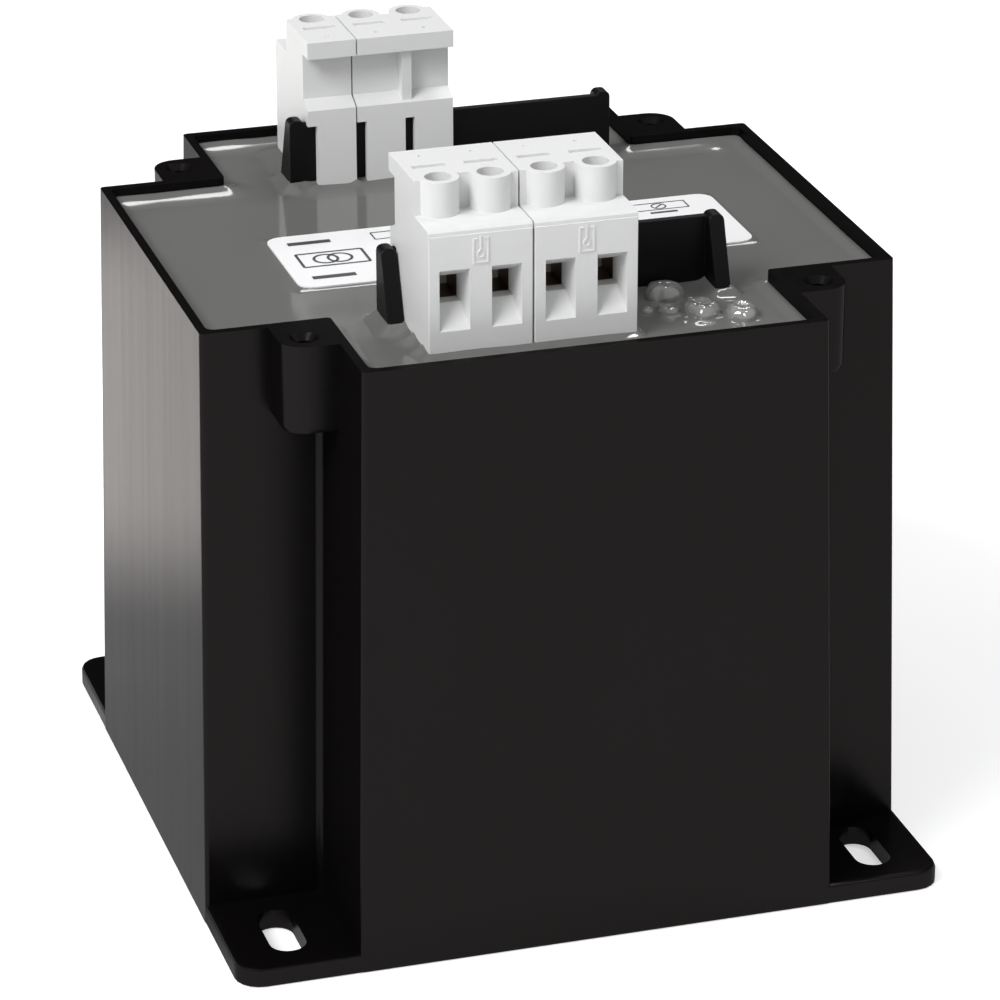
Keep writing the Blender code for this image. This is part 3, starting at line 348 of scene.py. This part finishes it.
def make_lamps():
    for name, (place, target, size, power) in AREA_LAMPS.items():
        data = bpy.data.lights.new(name, "AREA")
        data.shape = "RECTANGLE"
        data.size, data.size_y = size
        data.energy = power
        place_lamp(name, data, place, target)
    pool = bpy.data.lights.new("floor_behind", "SPOT")
    pool.spot_size = POOL_CONE
    pool.spot_blend = POOL_BLEND
    pool.shadow_soft_size = POOL_SOFTNESS
    pool.color = POOL_COLOUR
    pool.energy = POOL_POWER
    place_lamp("floor_behind", pool, POOL_PLACE, POOL_TARGET)


make_camera()
make_world()
make_floor()
make_lamps()


# Materials

def add_patches(tree, place, shader, colour, patches):
    """Soft patches of a darker and a lighter colour."""
    scale, share = patches
    cloud = add_node(tree, "ShaderNodeTexNoise", Scale=scale, **PATCH_NOISE)
    tree.links.new(place.outputs["Object"], cloud.inputs["Vector"])
    ramp = tree.nodes.new("ShaderNodeMix")
    ramp.data_type = "RGBA"
    ramp.inputs["A"].default_value = (*(c * (1.0 - share) for c in colour), 1.0)
    ramp.inputs["B"].default_value = (*(min(1.0, c * (1.0 + share)) for c in colour), 1.0)
    tree.links.new(cloud.outputs["Fac"], ramp.inputs["Factor"])
    tree.links.new(ramp.outputs["Result"], shader.inputs["Base Color"])


def add_streaks(tree, place, shader, roughness, streaks):
    """Drawn out lines of more and less gloss."""
    across, along, change = streaks
    stretch = tree.nodes.new("ShaderNodeMapping")
    stretch.inputs["Scale"].default_value = (across, across, along)
    tree.links.new(place.outputs["Object"], stretch.inputs["Vector"])
    lines = add_node(tree, "ShaderNodeTexNoise", **STREAK_NOISE)
    tree.links.new(stretch.outputs["Vector"], lines.inputs["Vector"])
    spread = tree.nodes.new("ShaderNodeMapRange")
    spread.inputs["From Min"].default_value, spread.inputs["From Max"].default_value = STREAK_SPAN
    spread.inputs["To Min"].default_value = roughness - change
    spread.inputs["To Max"].default_value = roughness + change
    tree.links.new(lines.outputs["Fac"], spread.inputs["Value"])
    tree.links.new(spread.outputs["Result"], shader.inputs["Roughness"])


def add_bump(tree, texture, shader, **inputs):
    bump = add_node(tree, "ShaderNodeBump", **inputs)
    tree.links.new(texture.outputs["Fac"], bump.inputs["Height"])
    tree.links.new(bump.outputs["Normal"], shader.inputs["Normal"])


def surface(name, colour, roughness, metallic=0.0, ior=1.45,
            patches=None, grain=None, streaks=None):
    """A Principled material with soft patches of colour, a fine grain and drawn streaks.

    patches is (scale, share of the colour), grain is (scale, depth of the bump) and streaks
    is (scale across, scale along Z, change of roughness).
    """
    material = bpy.data.materials.new(name)
    material.use_nodes = True
    tree = material.node_tree
    shader = tree.nodes["Principled BSDF"]
    shader.inputs["Base Color"].default_value = (*colour, 1.0)
    shader.inputs["Roughness"].default_value = roughness
    shader.inputs["Metallic"].default_value = metallic
    shader.inputs["IOR"].default_value = ior
    place = tree.nodes.new("ShaderNodeTexCoord")
    if patches:
        add_patches(tree, place, shader, colour, patches)
    if streaks:
        add_streaks(tree, place, shader, roughness, streaks)
    if grain:
        scale, depth = grain
        bumps = add_node(tree, "ShaderNodeTexNoise", Scale=scale, **GRAIN_NOISE)
        tree.links.new(place.outputs["Object"], bumps.inputs["Vector"])
        add_bump(tree, bumps, shader, Strength=1.0, Distance=depth)
    return material


def add_bands(material, axis, pitch, bump):
    """Even ridges across an axis, for a stack of sheets or turns of wire."""
    tree = material.node_tree
    place = tree.nodes.new("ShaderNodeTexCoord")
    wave = add_node(tree, "ShaderNodeTexWave", Scale=1.0 / (BANDS_PER_SCALE * pitch))
    wave.bands_direction = axis
    tree.links.new(place.outputs["Object"], wave.inputs["Vector"])
    add_bump(tree, wave, tree.nodes["Principled BSDF"], **bump)


CASE_BLACK = surface("case_black", (0.0034, 0.0029, 0.0030), 0.24, ior=1.05,
                     patches=(35.0, 0.25), grain=(5200.0, 0.000008), streaks=(330.0, 7.0, 0.03))
CASE_BLACK.node_tree.nodes["Principled BSDF"].inputs["Specular Tint"].default_value = CASE_TINT
HOLDER_BLACK = surface("holder_black", (0.0038, 0.0034, 0.0038), 0.42, ior=1.26,
                       patches=(120.0, 0.3), grain=(3800.0, 0.000014))
TERMINAL_WHITE = surface("terminal_white", (0.765, 0.772, 0.765), 0.40,
                         patches=(70.0, 0.02), grain=(2600.0, 0.000006))
RESIN_GREY = surface("resin_grey", (0.150, 0.152, 0.146), 0.09, ior=1.42,
                     patches=(45.0, 0.06), grain=(38.0, 0.00003))
RESIN_CLEAR = surface("resin_clear", (0.83, 0.83, 0.80), 0.02, ior=1.5, patches=(500.0, 0.12))
clear_inputs = RESIN_CLEAR.node_tree.nodes["Principled BSDF"].inputs
clear_inputs["Transmission Weight"].default_value = CLEAR_TRANSMISSION
clear_inputs["Coat Weight"].default_value = CLEAR_COAT
clear_inputs["Coat IOR"].default_value = CLEAR_COAT_IOR
clear_inputs["Coat Roughness"].default_value = CLEAR_COAT_ROUGHNESS
LABEL_WHITE = surface("label_white", (0.90, 0.90, 0.91), 0.30,
                      patches=(50.0, 0.01), grain=(300.0, 0.000012))
PRINT_GREY = surface("print_grey", (0.045, 0.045, 0.05), 0.4, patches=(900.0, 0.3))
ZINC = surface("zinc", (0.50, 0.46, 0.38), 0.34, metallic=1.0,
               patches=(260.0, 0.25), grain=(1800.0, 0.00001), streaks=(2500.0, 500.0, 0.08))
CAGE_METAL = surface("cage_metal", (0.20, 0.13, 0.085), 0.40, metallic=1.0,
                     patches=(420.0, 0.45), grain=(1500.0, 0.00002))
BAR_BRASS = surface("bar_brass", (0.55, 0.38, 0.17), 0.32, metallic=1.0,
                    patches=(300.0, 0.25), grain=(1500.0, 0.00001))
CORE_STEEL = surface("core_steel", (0.20, 0.20, 0.21), 0.45, metallic=1.0, patches=(60.0, 0.25))
add_bands(CORE_STEEL, "Y", SHEET_PITCH, SHEET_BUMP)
COPPER = surface("copper", (0.48, 0.17, 0.06), 0.30, metallic=0.7, patches=(90.0, 0.2))
add_bands(COPPER, "Z", WIRE_PITCH, WIRE_BUMP)
FORMER_NYLON = surface("former_nylon", (0.62, 0.58, 0.47), 0.5,
                       patches=(60.0, 0.08), grain=(1400.0, 0.00001))
WRAP_PAPER = surface("wrap_paper", (0.52, 0.43, 0.20), 0.6,
                     patches=(80.0, 0.15), grain=(1100.0, 0.00002))
LEAD_RED = surface("lead_red", (0.30, 0.045, 0.035), 0.5,
                   patches=(400.0, 0.15), grain=(5000.0, 0.00001))

LOOKS = [("housing", CASE_BLACK), ("potting_resin", RESIN_GREY), ("resin_drop", RESIN_CLEAR),
         ("rating_label", LABEL_WHITE), ("_holder", HOLDER_BLACK), ("_module_", TERMINAL_WHITE),
         ("_screw_", ZINC), ("_clamp_", CAGE_METAL), ("_bar_", BAR_BRASS), ("core_", CORE_STEEL),
         ("_winding", COPPER), ("coil_former", FORMER_NYLON), ("insulation", WRAP_PAPER),
         ("outer_wrap", WRAP_PAPER), ("_lead_", LEAD_RED)]

for node_name, node in NODES.items():
    look = next(material for key, material in LOOKS if key in node_name)
    node.data.materials.clear()
    node.data.materials.append(look)


# Helpers for the added pieces

def add_piece(name, mesh, material, replaces=()):
    """A piece that stays with the base, with the slot it takes and the nodes it stands for."""
    piece = bpy.data.objects.new(name, mesh)
    bpy.context.scene.collection.objects.link(piece)
    mesh.materials.append(material)
    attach(piece, "base")
    if replaces:
        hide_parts(*replaces)


def finish_mesh(name, bm, smooth=True):
    bmesh.ops.recalc_face_normals(bm, faces=bm.faces)
    mesh = bpy.data.meshes.new(name)
    bm.to_mesh(mesh)
    bm.free()
    if smooth:
        mesh.shade_smooth()
    return mesh


def bridge(bm, lower, upper, steps):
    """Faces between two loops of the same number of corners."""
    for i in range(steps):
        n = (i + 1) % steps
        bm.faces.new((lower[i], lower[n], upper[n], upper[i]))


# Sizes read from the frame

resin_low, resin_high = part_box("potting_resin")
LEVEL = resin_high.z


def box_of(names):
    lows, highs = zip(*(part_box(name) for name in names))
    low = Vector(min(v[i] for v in lows) for i in range(3))
    high = Vector(max(v[i] for v in highs) for i in range(3))
    return low, high


# Arm widths of the cavity are not read off a box, so they are found on the resin's top
top_points = [v.co for v in NODES["potting_resin"].data.vertices if v.co.z > LEVEL - TOP_BAND]
ARM_X = max(p.x for p in top_points if p.y < resin_low.y + END_BAND) + RESIN_TO_WALL
ARM_Y = max(p.y for p in top_points if p.x < resin_low.x + END_BAND) + RESIN_TO_WALL
HALF_X = resin_high.x + RESIN_TO_WALL
HALF_Y = resin_high.y + RESIN_TO_WALL


# Resin surface, drawn up along the walls and round every piece that stands in it

def distance_to(rect, x, y):
    x_low, x_high, y_low, y_high = rect
    dx = np.maximum(np.maximum(x_low - x, x - x_high), 0.0)
    dy = np.maximum(np.maximum(y_low - y, y - y_high), 0.0)
    return np.hypot(dx, dy)


def wall_lines():
    """Each wall of the cavity as a thin rectangle with its rise."""
    lines = []
    for s in (-1, 1):
        lines.append(((s * HALF_X, s * HALF_X, -ARM_Y, ARM_Y), WALL_RISE))
        for t in (-1, 1):
            xs = sorted((s * ARM_X, s * HALF_X))
            ys = sorted((t * ARM_Y, t * HALF_Y))
            rise = REAR_WALL_RISE if t > 0 else WALL_RISE
            lines.append(((xs[0], xs[1], t * ARM_Y, t * ARM_Y), rise))
            lines.append(((s * ARM_X, s * ARM_X, ys[0], ys[1]), WALL_RISE))
        ends = (-ARM_X, ARM_X, s * HALF_Y, s * HALF_Y)
        lines.append((ends, REAR_WALL_RISE if s > 0 else WALL_RISE))
    return lines


def standing_pieces(side):
    """Footprints in the resin of one terminal row: its block, legs, plate and cheeks."""
    low, high = box_of([n for n in NODES if n.startswith(side + "_terminal_module")])
    holder_low, holder_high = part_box(side + "_terminal_holder")
    if side == "front":
        plate = (holder_high.y - PLATE_THICKNESS, holder_high.y)
        leg_face = high.y - CHEEK_SLOPE / 2
        legs_y = (leg_face - LEG_THICKNESS, leg_face)
        block_y = (low.y, plate[1])
        cheek_y = (holder_low.y + CHEEK_SLOPE, holder_high.y)
        gaps = (0.0, LEG_GAP)
        rise = BLOCK_RISE
    else:
        plate = (holder_low.y, holder_low.y + PLATE_THICKNESS)
        leg_face = low.y + CHEEK_SLOPE / 2
        legs_y = (leg_face, leg_face + LEG_THICKNESS)
        block_y = (plate[0], high.y)
        cheek_y = (holder_low.y, holder_high.y - CHEEK_SLOPE)
        gaps = (LEG_GAP, 0.0)
        rise = REAR_BLOCK_RISE
    pieces = [((low.x, high.x, *block_y), rise),
              ((holder_low.x, holder_high.x, *plate), PLATE_RISE)]
    for name in NODES:
        if name.startswith(side + "_screw_"):
            screw_low, screw_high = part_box(name)
            x = (screw_low.x + screw_high.x) / 2
            left = x - POLE_PITCH / 2 + gaps[0]
            right = x + POLE_PITCH / 2 - gaps[1]
            pieces.append(((left, right, *legs_y), rise))
    for x in (holder_low.x, holder_high.x - CHEEK_WIDTH):
        pieces.append(((x, x + CHEEK_WIDTH, *cheek_y), CHEEK_RISE))
    return pieces


def noise_at(x, y, scale, layer):
    return np.array([noise.noise(Vector((a * scale, b * scale, layer))) for a, b in zip(x, y)])


def resin_heights(x, y, footprints):
    """Height of the resin over its level at each grid point."""
    low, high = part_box("rating_label")
    shapes = wall_lines() + footprints + [((low.x, high.x, low.y, high.y), LABEL_RISE)]
    for number in DROP_SHAPES:
        low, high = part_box(f"resin_drop_{number}")
        mid = (low + high) / 2
        half = (high - low) * DROP_FOOTPRINT
        shapes.append(((mid.x - half.x, mid.x + half.x, mid.y - half.y, mid.y + half.y), DROP_RISE))
    total = np.zeros_like(x)
    for rect, (rise, reach) in shapes:
        near = np.clip(1.0 - distance_to(rect, x, y) / reach, 0.0, 1.0)
        total += (rise * near ** RISE_POWER) ** BLEND_POWER
    total = total ** (1.0 / BLEND_POWER)
    for swell_x, swell_y, spread, amount in RESIN_SWELLS:
        total += amount * np.exp(-((x - swell_x) ** 2 + (y - swell_y) ** 2) / (2 * spread ** 2))
    uneven = noise_at(x, y, UNEVEN_SCALE, UNEVEN_LAYER)
    calm = noise_at(x, y, CALM_SCALE, CALM_LAYER)
    return SKIN_LIFT + total * (1.0 + UNEVEN_SHARE * uneven) + CALM_HEIGHT * (1.0 + calm)


def make_resin_surface():
    footprints = standing_pieces("front") + standing_pieces("rear")
    reach = SKIN_INTO_WALL
    xs = np.arange(-HALF_X - reach, HALF_X + reach + SKIN_STEP, SKIN_STEP)
    ys = np.arange(-HALF_Y - reach, HALF_Y + reach + SKIN_STEP, SKIN_STEP)
    grid_x, grid_y = (a.ravel() for a in np.meshgrid(xs, ys))
    heights = resin_heights(grid_x, grid_y, footprints)
    middles = np.meshgrid(xs[:-1] + SKIN_STEP / 2, ys[:-1] + SKIN_STEP / 2)
    mid_x, mid_y = (a.ravel() for a in middles)
    across = (abs(mid_x) < HALF_X + reach) & (abs(mid_y) < ARM_Y + reach)
    along = (abs(mid_x) < ARM_X + reach) & (abs(mid_y) < HALF_Y + reach)
    keep = across | along
    into = SKIN_UNDER_PIECE
    for (x_low, x_high, y_low, y_high), _ in footprints:
        keep &= ~((mid_x > x_low + into) & (mid_x < x_high - into)
                  & (mid_y > y_low + into) & (mid_y < y_high - into))
    row = len(xs)
    cells = np.nonzero(keep)[0]
    corner = cells // (row - 1) * row + cells % (row - 1)
    quads = np.stack((corner, corner + 1, corner + row + 1, corner + row), axis=1)
    used, index = np.unique(quads, return_inverse=True)
    points = np.stack((grid_x, grid_y, LEVEL + heights), axis=1)[used]
    mesh = bpy.data.meshes.new("resin_surface")
    mesh.from_pydata(points.tolist(), [], index.reshape(-1, 4).tolist())
    mesh.shade_smooth()
    add_piece("resin_surface", mesh, RESIN_GREY)


make_resin_surface()


# Drops of resin

def drop_mesh(bm, centre, half, height, seed, ribs=0.0, crater=0.0):
    """A low rounded bead with an uneven outline, its rim under the resin surface."""
    outline_scale, outline_share = OUTLINE_NOISE
    skin_scale, skin_share = SKIN_NOISE
    rings = []
    for j in range(DROP_UP):
        lift = j / (DROP_UP - 1) * pi / 2
        ring = []
        for i in range(DROP_AROUND):
            angle = 2 * pi * i / DROP_AROUND
            direction = Vector((cos(angle), sin(angle), seed))
            swell = 1.0 + outline_share * noise.noise(direction * outline_scale)
            ripple = 1.0 + ribs * sin(angle * DROP_RIBS + seed) * sin(2 * lift)
            radius = cos(lift) ** DROP_ROUNDING * swell * ripple
            dip = 1.0 - crater * exp(-(radius / CRATER_RADIUS) ** 2)
            above = direction * skin_scale + Vector((0.0, 0.0, lift))
            bump = 1.0 + skin_share * noise.noise(above)
            ring.append(bm.verts.new((centre[0] + half[0] * radius * cos(angle),
                                      centre[1] + half[1] * radius * sin(angle),
                                      LEVEL - DROP_SINK + height * sin(lift) * dip * bump)))
        rings.append(ring)
    for lower, upper in zip(rings, rings[1:]):
        bridge(bm, lower, upper, DROP_AROUND)
    bm.faces.new(list(reversed(rings[0])))
    bm.faces.new(rings[-1])
    bmesh.ops.remove_doubles(bm, verts=bm.verts, dist=DROP_WELD)


def make_drops():
    for number, (ribs, crater) in DROP_SHAPES.items():
        name = f"resin_drop_{number}"
        low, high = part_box(name)
        centre = (low + high) / 2
        half = (high - low) / 2
        spread = (half.x * DROP_SPREAD, half.y * DROP_SPREAD)
        height = (high.z - LEVEL) * DROP_HEIGHT
        bm = bmesh.new()
        drop_mesh(bm, (centre.x, centre.y), spread, height, number * DROP_SEED, ribs, crater)
        bead = f"resin_bead_{number}"
        add_piece(bead, finish_mesh(bead, bm), RESIN_CLEAR, replaces=(name,))
    bm = bmesh.new()
    for k, (x, y, half_x, half_y, height) in enumerate(RESIN_SPECKS):
        drop_mesh(bm, (x, y), (half_x, half_y), height, SPECK_SEED + k)
    add_piece("resin_specks", finish_mesh("resin_specks", bm), RESIN_CLEAR)


make_drops()


# Print on the label: ruled boxes and a winding symbol, no words

def strip(bm, start, end, width, z):
    start = Vector((*start, 0.0))
    end = Vector((*end, 0.0))
    across = Vector((-(end - start).y, (end - start).x, 0.0)).normalized() * width / 2
    outline = (start - across, end - across, end + across, start + across)
    lower = [bm.verts.new((p.x, p.y, z)) for p in outline]
    upper = [bm.verts.new((v.co.x, v.co.y, z + PRINT_THICKNESS)) for v in lower]
    bm.faces.new(list(reversed(lower)))
    bm.faces.new(upper)
    bridge(bm, lower, upper, 4)


def path_strip(bm, points, width, z):
    for start, end in zip(points, points[1:]):
        strip(bm, start, end, width, z)


def ring_points(x, y, radius, steps):
    angles = [2 * pi * k / steps for k in range(steps)]
    return [(x + radius * cos(angle), y + radius * sin(angle)) for angle in angles]


def ring_strip(bm, x, y, radius, width, z):
    points = ring_points(x, y, radius, RING_STEPS)
    path_strip(bm, points + points[:1], width, z)


def box_strip(bm, x_low, x_high, y_low, y_high, width, z):
    corners = [(x_low, y_low), (x_high, y_low), (x_high, y_high), (x_low, y_high)]
    path_strip(bm, corners + corners[:1], width, z)


def print_row(bm, left, y_low, y_high, bar_y, z):
    """A title bar and four cells, each with a ring, a stroke across it and a bar at bar_y."""
    title_length, title_width = TITLE_BAR
    ring_x, ring_radius = CELL_RING
    stroke_start, stroke_end, stroke_inset = CELL_STROKE
    bar_start, bar_end, bar_width = CELL_BAR
    middle = (y_low + y_high) / 2
    strip(bm, (left, middle), (left + title_length, middle), title_width, z)
    for k in range(CELL_COUNT):
        x = left + CELL_START + CELL_PITCH * k
        box_strip(bm, x, x + CELL_WIDTH, y_low, y_high, RULE_WIDTH, z)
        ring_strip(bm, x + ring_x, middle, ring_radius, RULE_WIDTH, z)
        strip(bm, (x + stroke_start, y_low + stroke_inset), (x + stroke_end, y_high - stroke_inset),
              RULE_WIDTH, z)
        strip(bm, (x + bar_start, bar_y), (x + bar_end, bar_y), bar_width, z)


def make_print():
    """Plain ruled boxes, a transformer symbol of two rings, and bars where lines of data go."""
    low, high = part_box("rating_label")
    z = high.z + PRINT_LIFT
    left, right = low.x + PRINT_MARGIN, high.x - PRINT_MARGIN
    middle = (low.y + high.y) / 2
    near, far = ROW_INSET
    bm = bmesh.new()
    print_row(bm, left, high.y - far, high.y - near, high.y - far - CELL_BAR_OUTSIDE, z)
    print_row(bm, left, low.y + near, low.y + far, low.y + far + CELL_BAR_OUTSIDE, z)
    box_width, box_half = SIGN_BOX
    box_strip(bm, left, left + box_width, middle - box_half, middle + box_half, HEAVY_RULE, z)
    rings_x, ring_offset, ring_radius = SIGN_RINGS
    for side in (-1, 1):
        ring_strip(bm, left + rings_x + side * ring_offset, middle, ring_radius, HEAVY_RULE, z)
    for start, end, above, width in MIDDLE_BARS:
        strip(bm, (left + start, middle + above), (left + end, middle + above), width, z)
    start, above = MIDDLE_RULE
    strip(bm, (left + start, middle + above), (right, middle + above), RULE_WIDTH, z)
    add_piece("label_print", finish_mesh("label_print", bm, smooth=False), PRINT_GREY)


make_print()


# A small raised sign over the entries of each front module: a clamp frame with its screw

def raised_path(bm, points, face_y, closed=False):
    """A low ribbon with sloping sides on the wiring face, mitred at its corners, in X and Z."""
    profile = ((1.0, MARK_LIFT / 2), (MARK_TOP_SHARE, -MARK_LIFT),
               (-MARK_TOP_SHARE, -MARK_LIFT), (-1.0, MARK_LIFT / 2))
    sections = []
    for i, point in enumerate(points):
        here = Vector(point)
        before = here - Vector(points[i - 1]) if closed or i else None
        after = None
        if closed or i + 1 < len(points):
            after = Vector(points[(i + 1) % len(points)]) - here
        into = (before or after).normalized()
        out = (after or before).normalized()
        along = (into + out).normalized()
        across = Vector((-along.y, along.x)) / max(along.dot(out), SHARPEST_MITRE)
        section = []
        for half, y in profile:
            place = here + across * half * MARK_LINE / 2
            section.append(bm.verts.new((place.x, face_y + y, place.y)))
        sections.append(section)
    if not closed:
        bm.faces.new(sections[0])
        bm.faces.new(list(reversed(sections[-1])))
    following = sections[1:] + sections[:1] if closed else sections[1:]
    for section, following_section in zip(sections, following):
        bridge(bm, section, following_section, len(profile))


def make_marks():
    """On each front module the sign of a clamp: an open frame, and a screw with a round foot."""
    bm = bmesh.new()
    for name in ("front_terminal_module_left", "front_terminal_module_right"):
        low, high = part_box(name)
        x = (low.x + high.x) / 2
        foot = LEVEL + MARK_FOOT
        top = foot + MARK_HEIGHT
        half, mouth = MARK_HALF_WIDTH, MARK_MOUTH
        raised_path(bm, [(x - mouth, top), (x - half, top), (x - half, foot), (x + half, foot),
                         (x + half, top), (x + mouth, top)], low.y)
        ring = foot + SCREW_RING_HEIGHT
        ring_outline = ring_points(x, ring, SCREW_RING_RADIUS, SCREW_RING_STEPS)
        raised_path(bm, ring_outline, low.y, closed=True)
        raised_path(bm, [(x, ring + SCREW_RING_RADIUS), (x, foot + SCREW_TOP)], low.y)
    marks = finish_mesh("terminal_marks", bm, smooth=False)
    add_piece("terminal_marks", marks, TERMINAL_WHITE)


make_marks()


# Softer edges and round faces on the moulded and turned parts

def smooth_group(limit):
    """Merge the corners of a node's faces and shade it smooth up to an angle."""
    tree = bpy.data.node_groups.new("smooth_up_to_angle", "GeometryNodeTree")
    for in_out in ("INPUT", "OUTPUT"):
        tree.interface.new_socket("Geometry", in_out=in_out, socket_type="NodeSocketGeometry")
    start = tree.nodes.new("NodeGroupInput")
    end = tree.nodes.new("NodeGroupOutput")
    weld = tree.nodes.new("GeometryNodeMergeByDistance")
    weld.inputs["Distance"].default_value = NODE_WELD
    faces = tree.nodes.new("GeometryNodeSetShadeSmooth")
    faces.domain = "FACE"
    edges = tree.nodes.new("GeometryNodeSetShadeSmooth")
    edges.domain = "EDGE"
    angle = tree.nodes.new("GeometryNodeInputMeshEdgeAngle")
    below = tree.nodes.new("FunctionNodeCompare")
    below.data_type = "FLOAT"
    below.operation = "LESS_THAN"
    below.inputs[1].default_value = limit
    tree.links.new(angle.outputs["Unsigned Angle"], below.inputs[0])
    tree.links.new(below.outputs["Result"], edges.inputs["Shade Smooth"])
    tree.links.new(start.outputs[0], weld.inputs["Geometry"])
    tree.links.new(weld.outputs["Geometry"], faces.inputs["Geometry"])
    tree.links.new(faces.outputs["Geometry"], edges.inputs["Geometry"])
    tree.links.new(edges.outputs["Geometry"], end.inputs[0])
    return tree


SMOOTH = smooth_group(SMOOTH_ANGLE)


def soften(node, width):
    """Shade a node smooth and, where it has a width, bevel its edges and keep its faces level."""
    node.modifiers.new("smooth", "NODES").node_group = SMOOTH
    if width:
        flat = node.modifiers.new("flat_faces", "DECIMATE")
        flat.decimate_type = "DISSOLVE"
        flat.angle_limit = FLAT_ANGLE
        bevel = node.modifiers.new("soft_edges", "BEVEL")
        bevel.width = width
        bevel.segments = EDGE_SEGMENTS
        bevel.limit_method = "ANGLE"
        bevel.angle_limit = EDGE_ANGLE
        bevel.use_clamp_overlap = True
        level = node.modifiers.new("level_faces", "WEIGHTED_NORMAL")
        level.mode = "FACE_AREA"
        level.keep_sharp = True


for node_name, node in NODES.items():
    for key, width in EDGE_WIDTHS:
        if key in node_name:
            soften(node, width)

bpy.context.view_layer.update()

scene = bpy.context.scene
scene.view_settings.view_transform = "Standard"
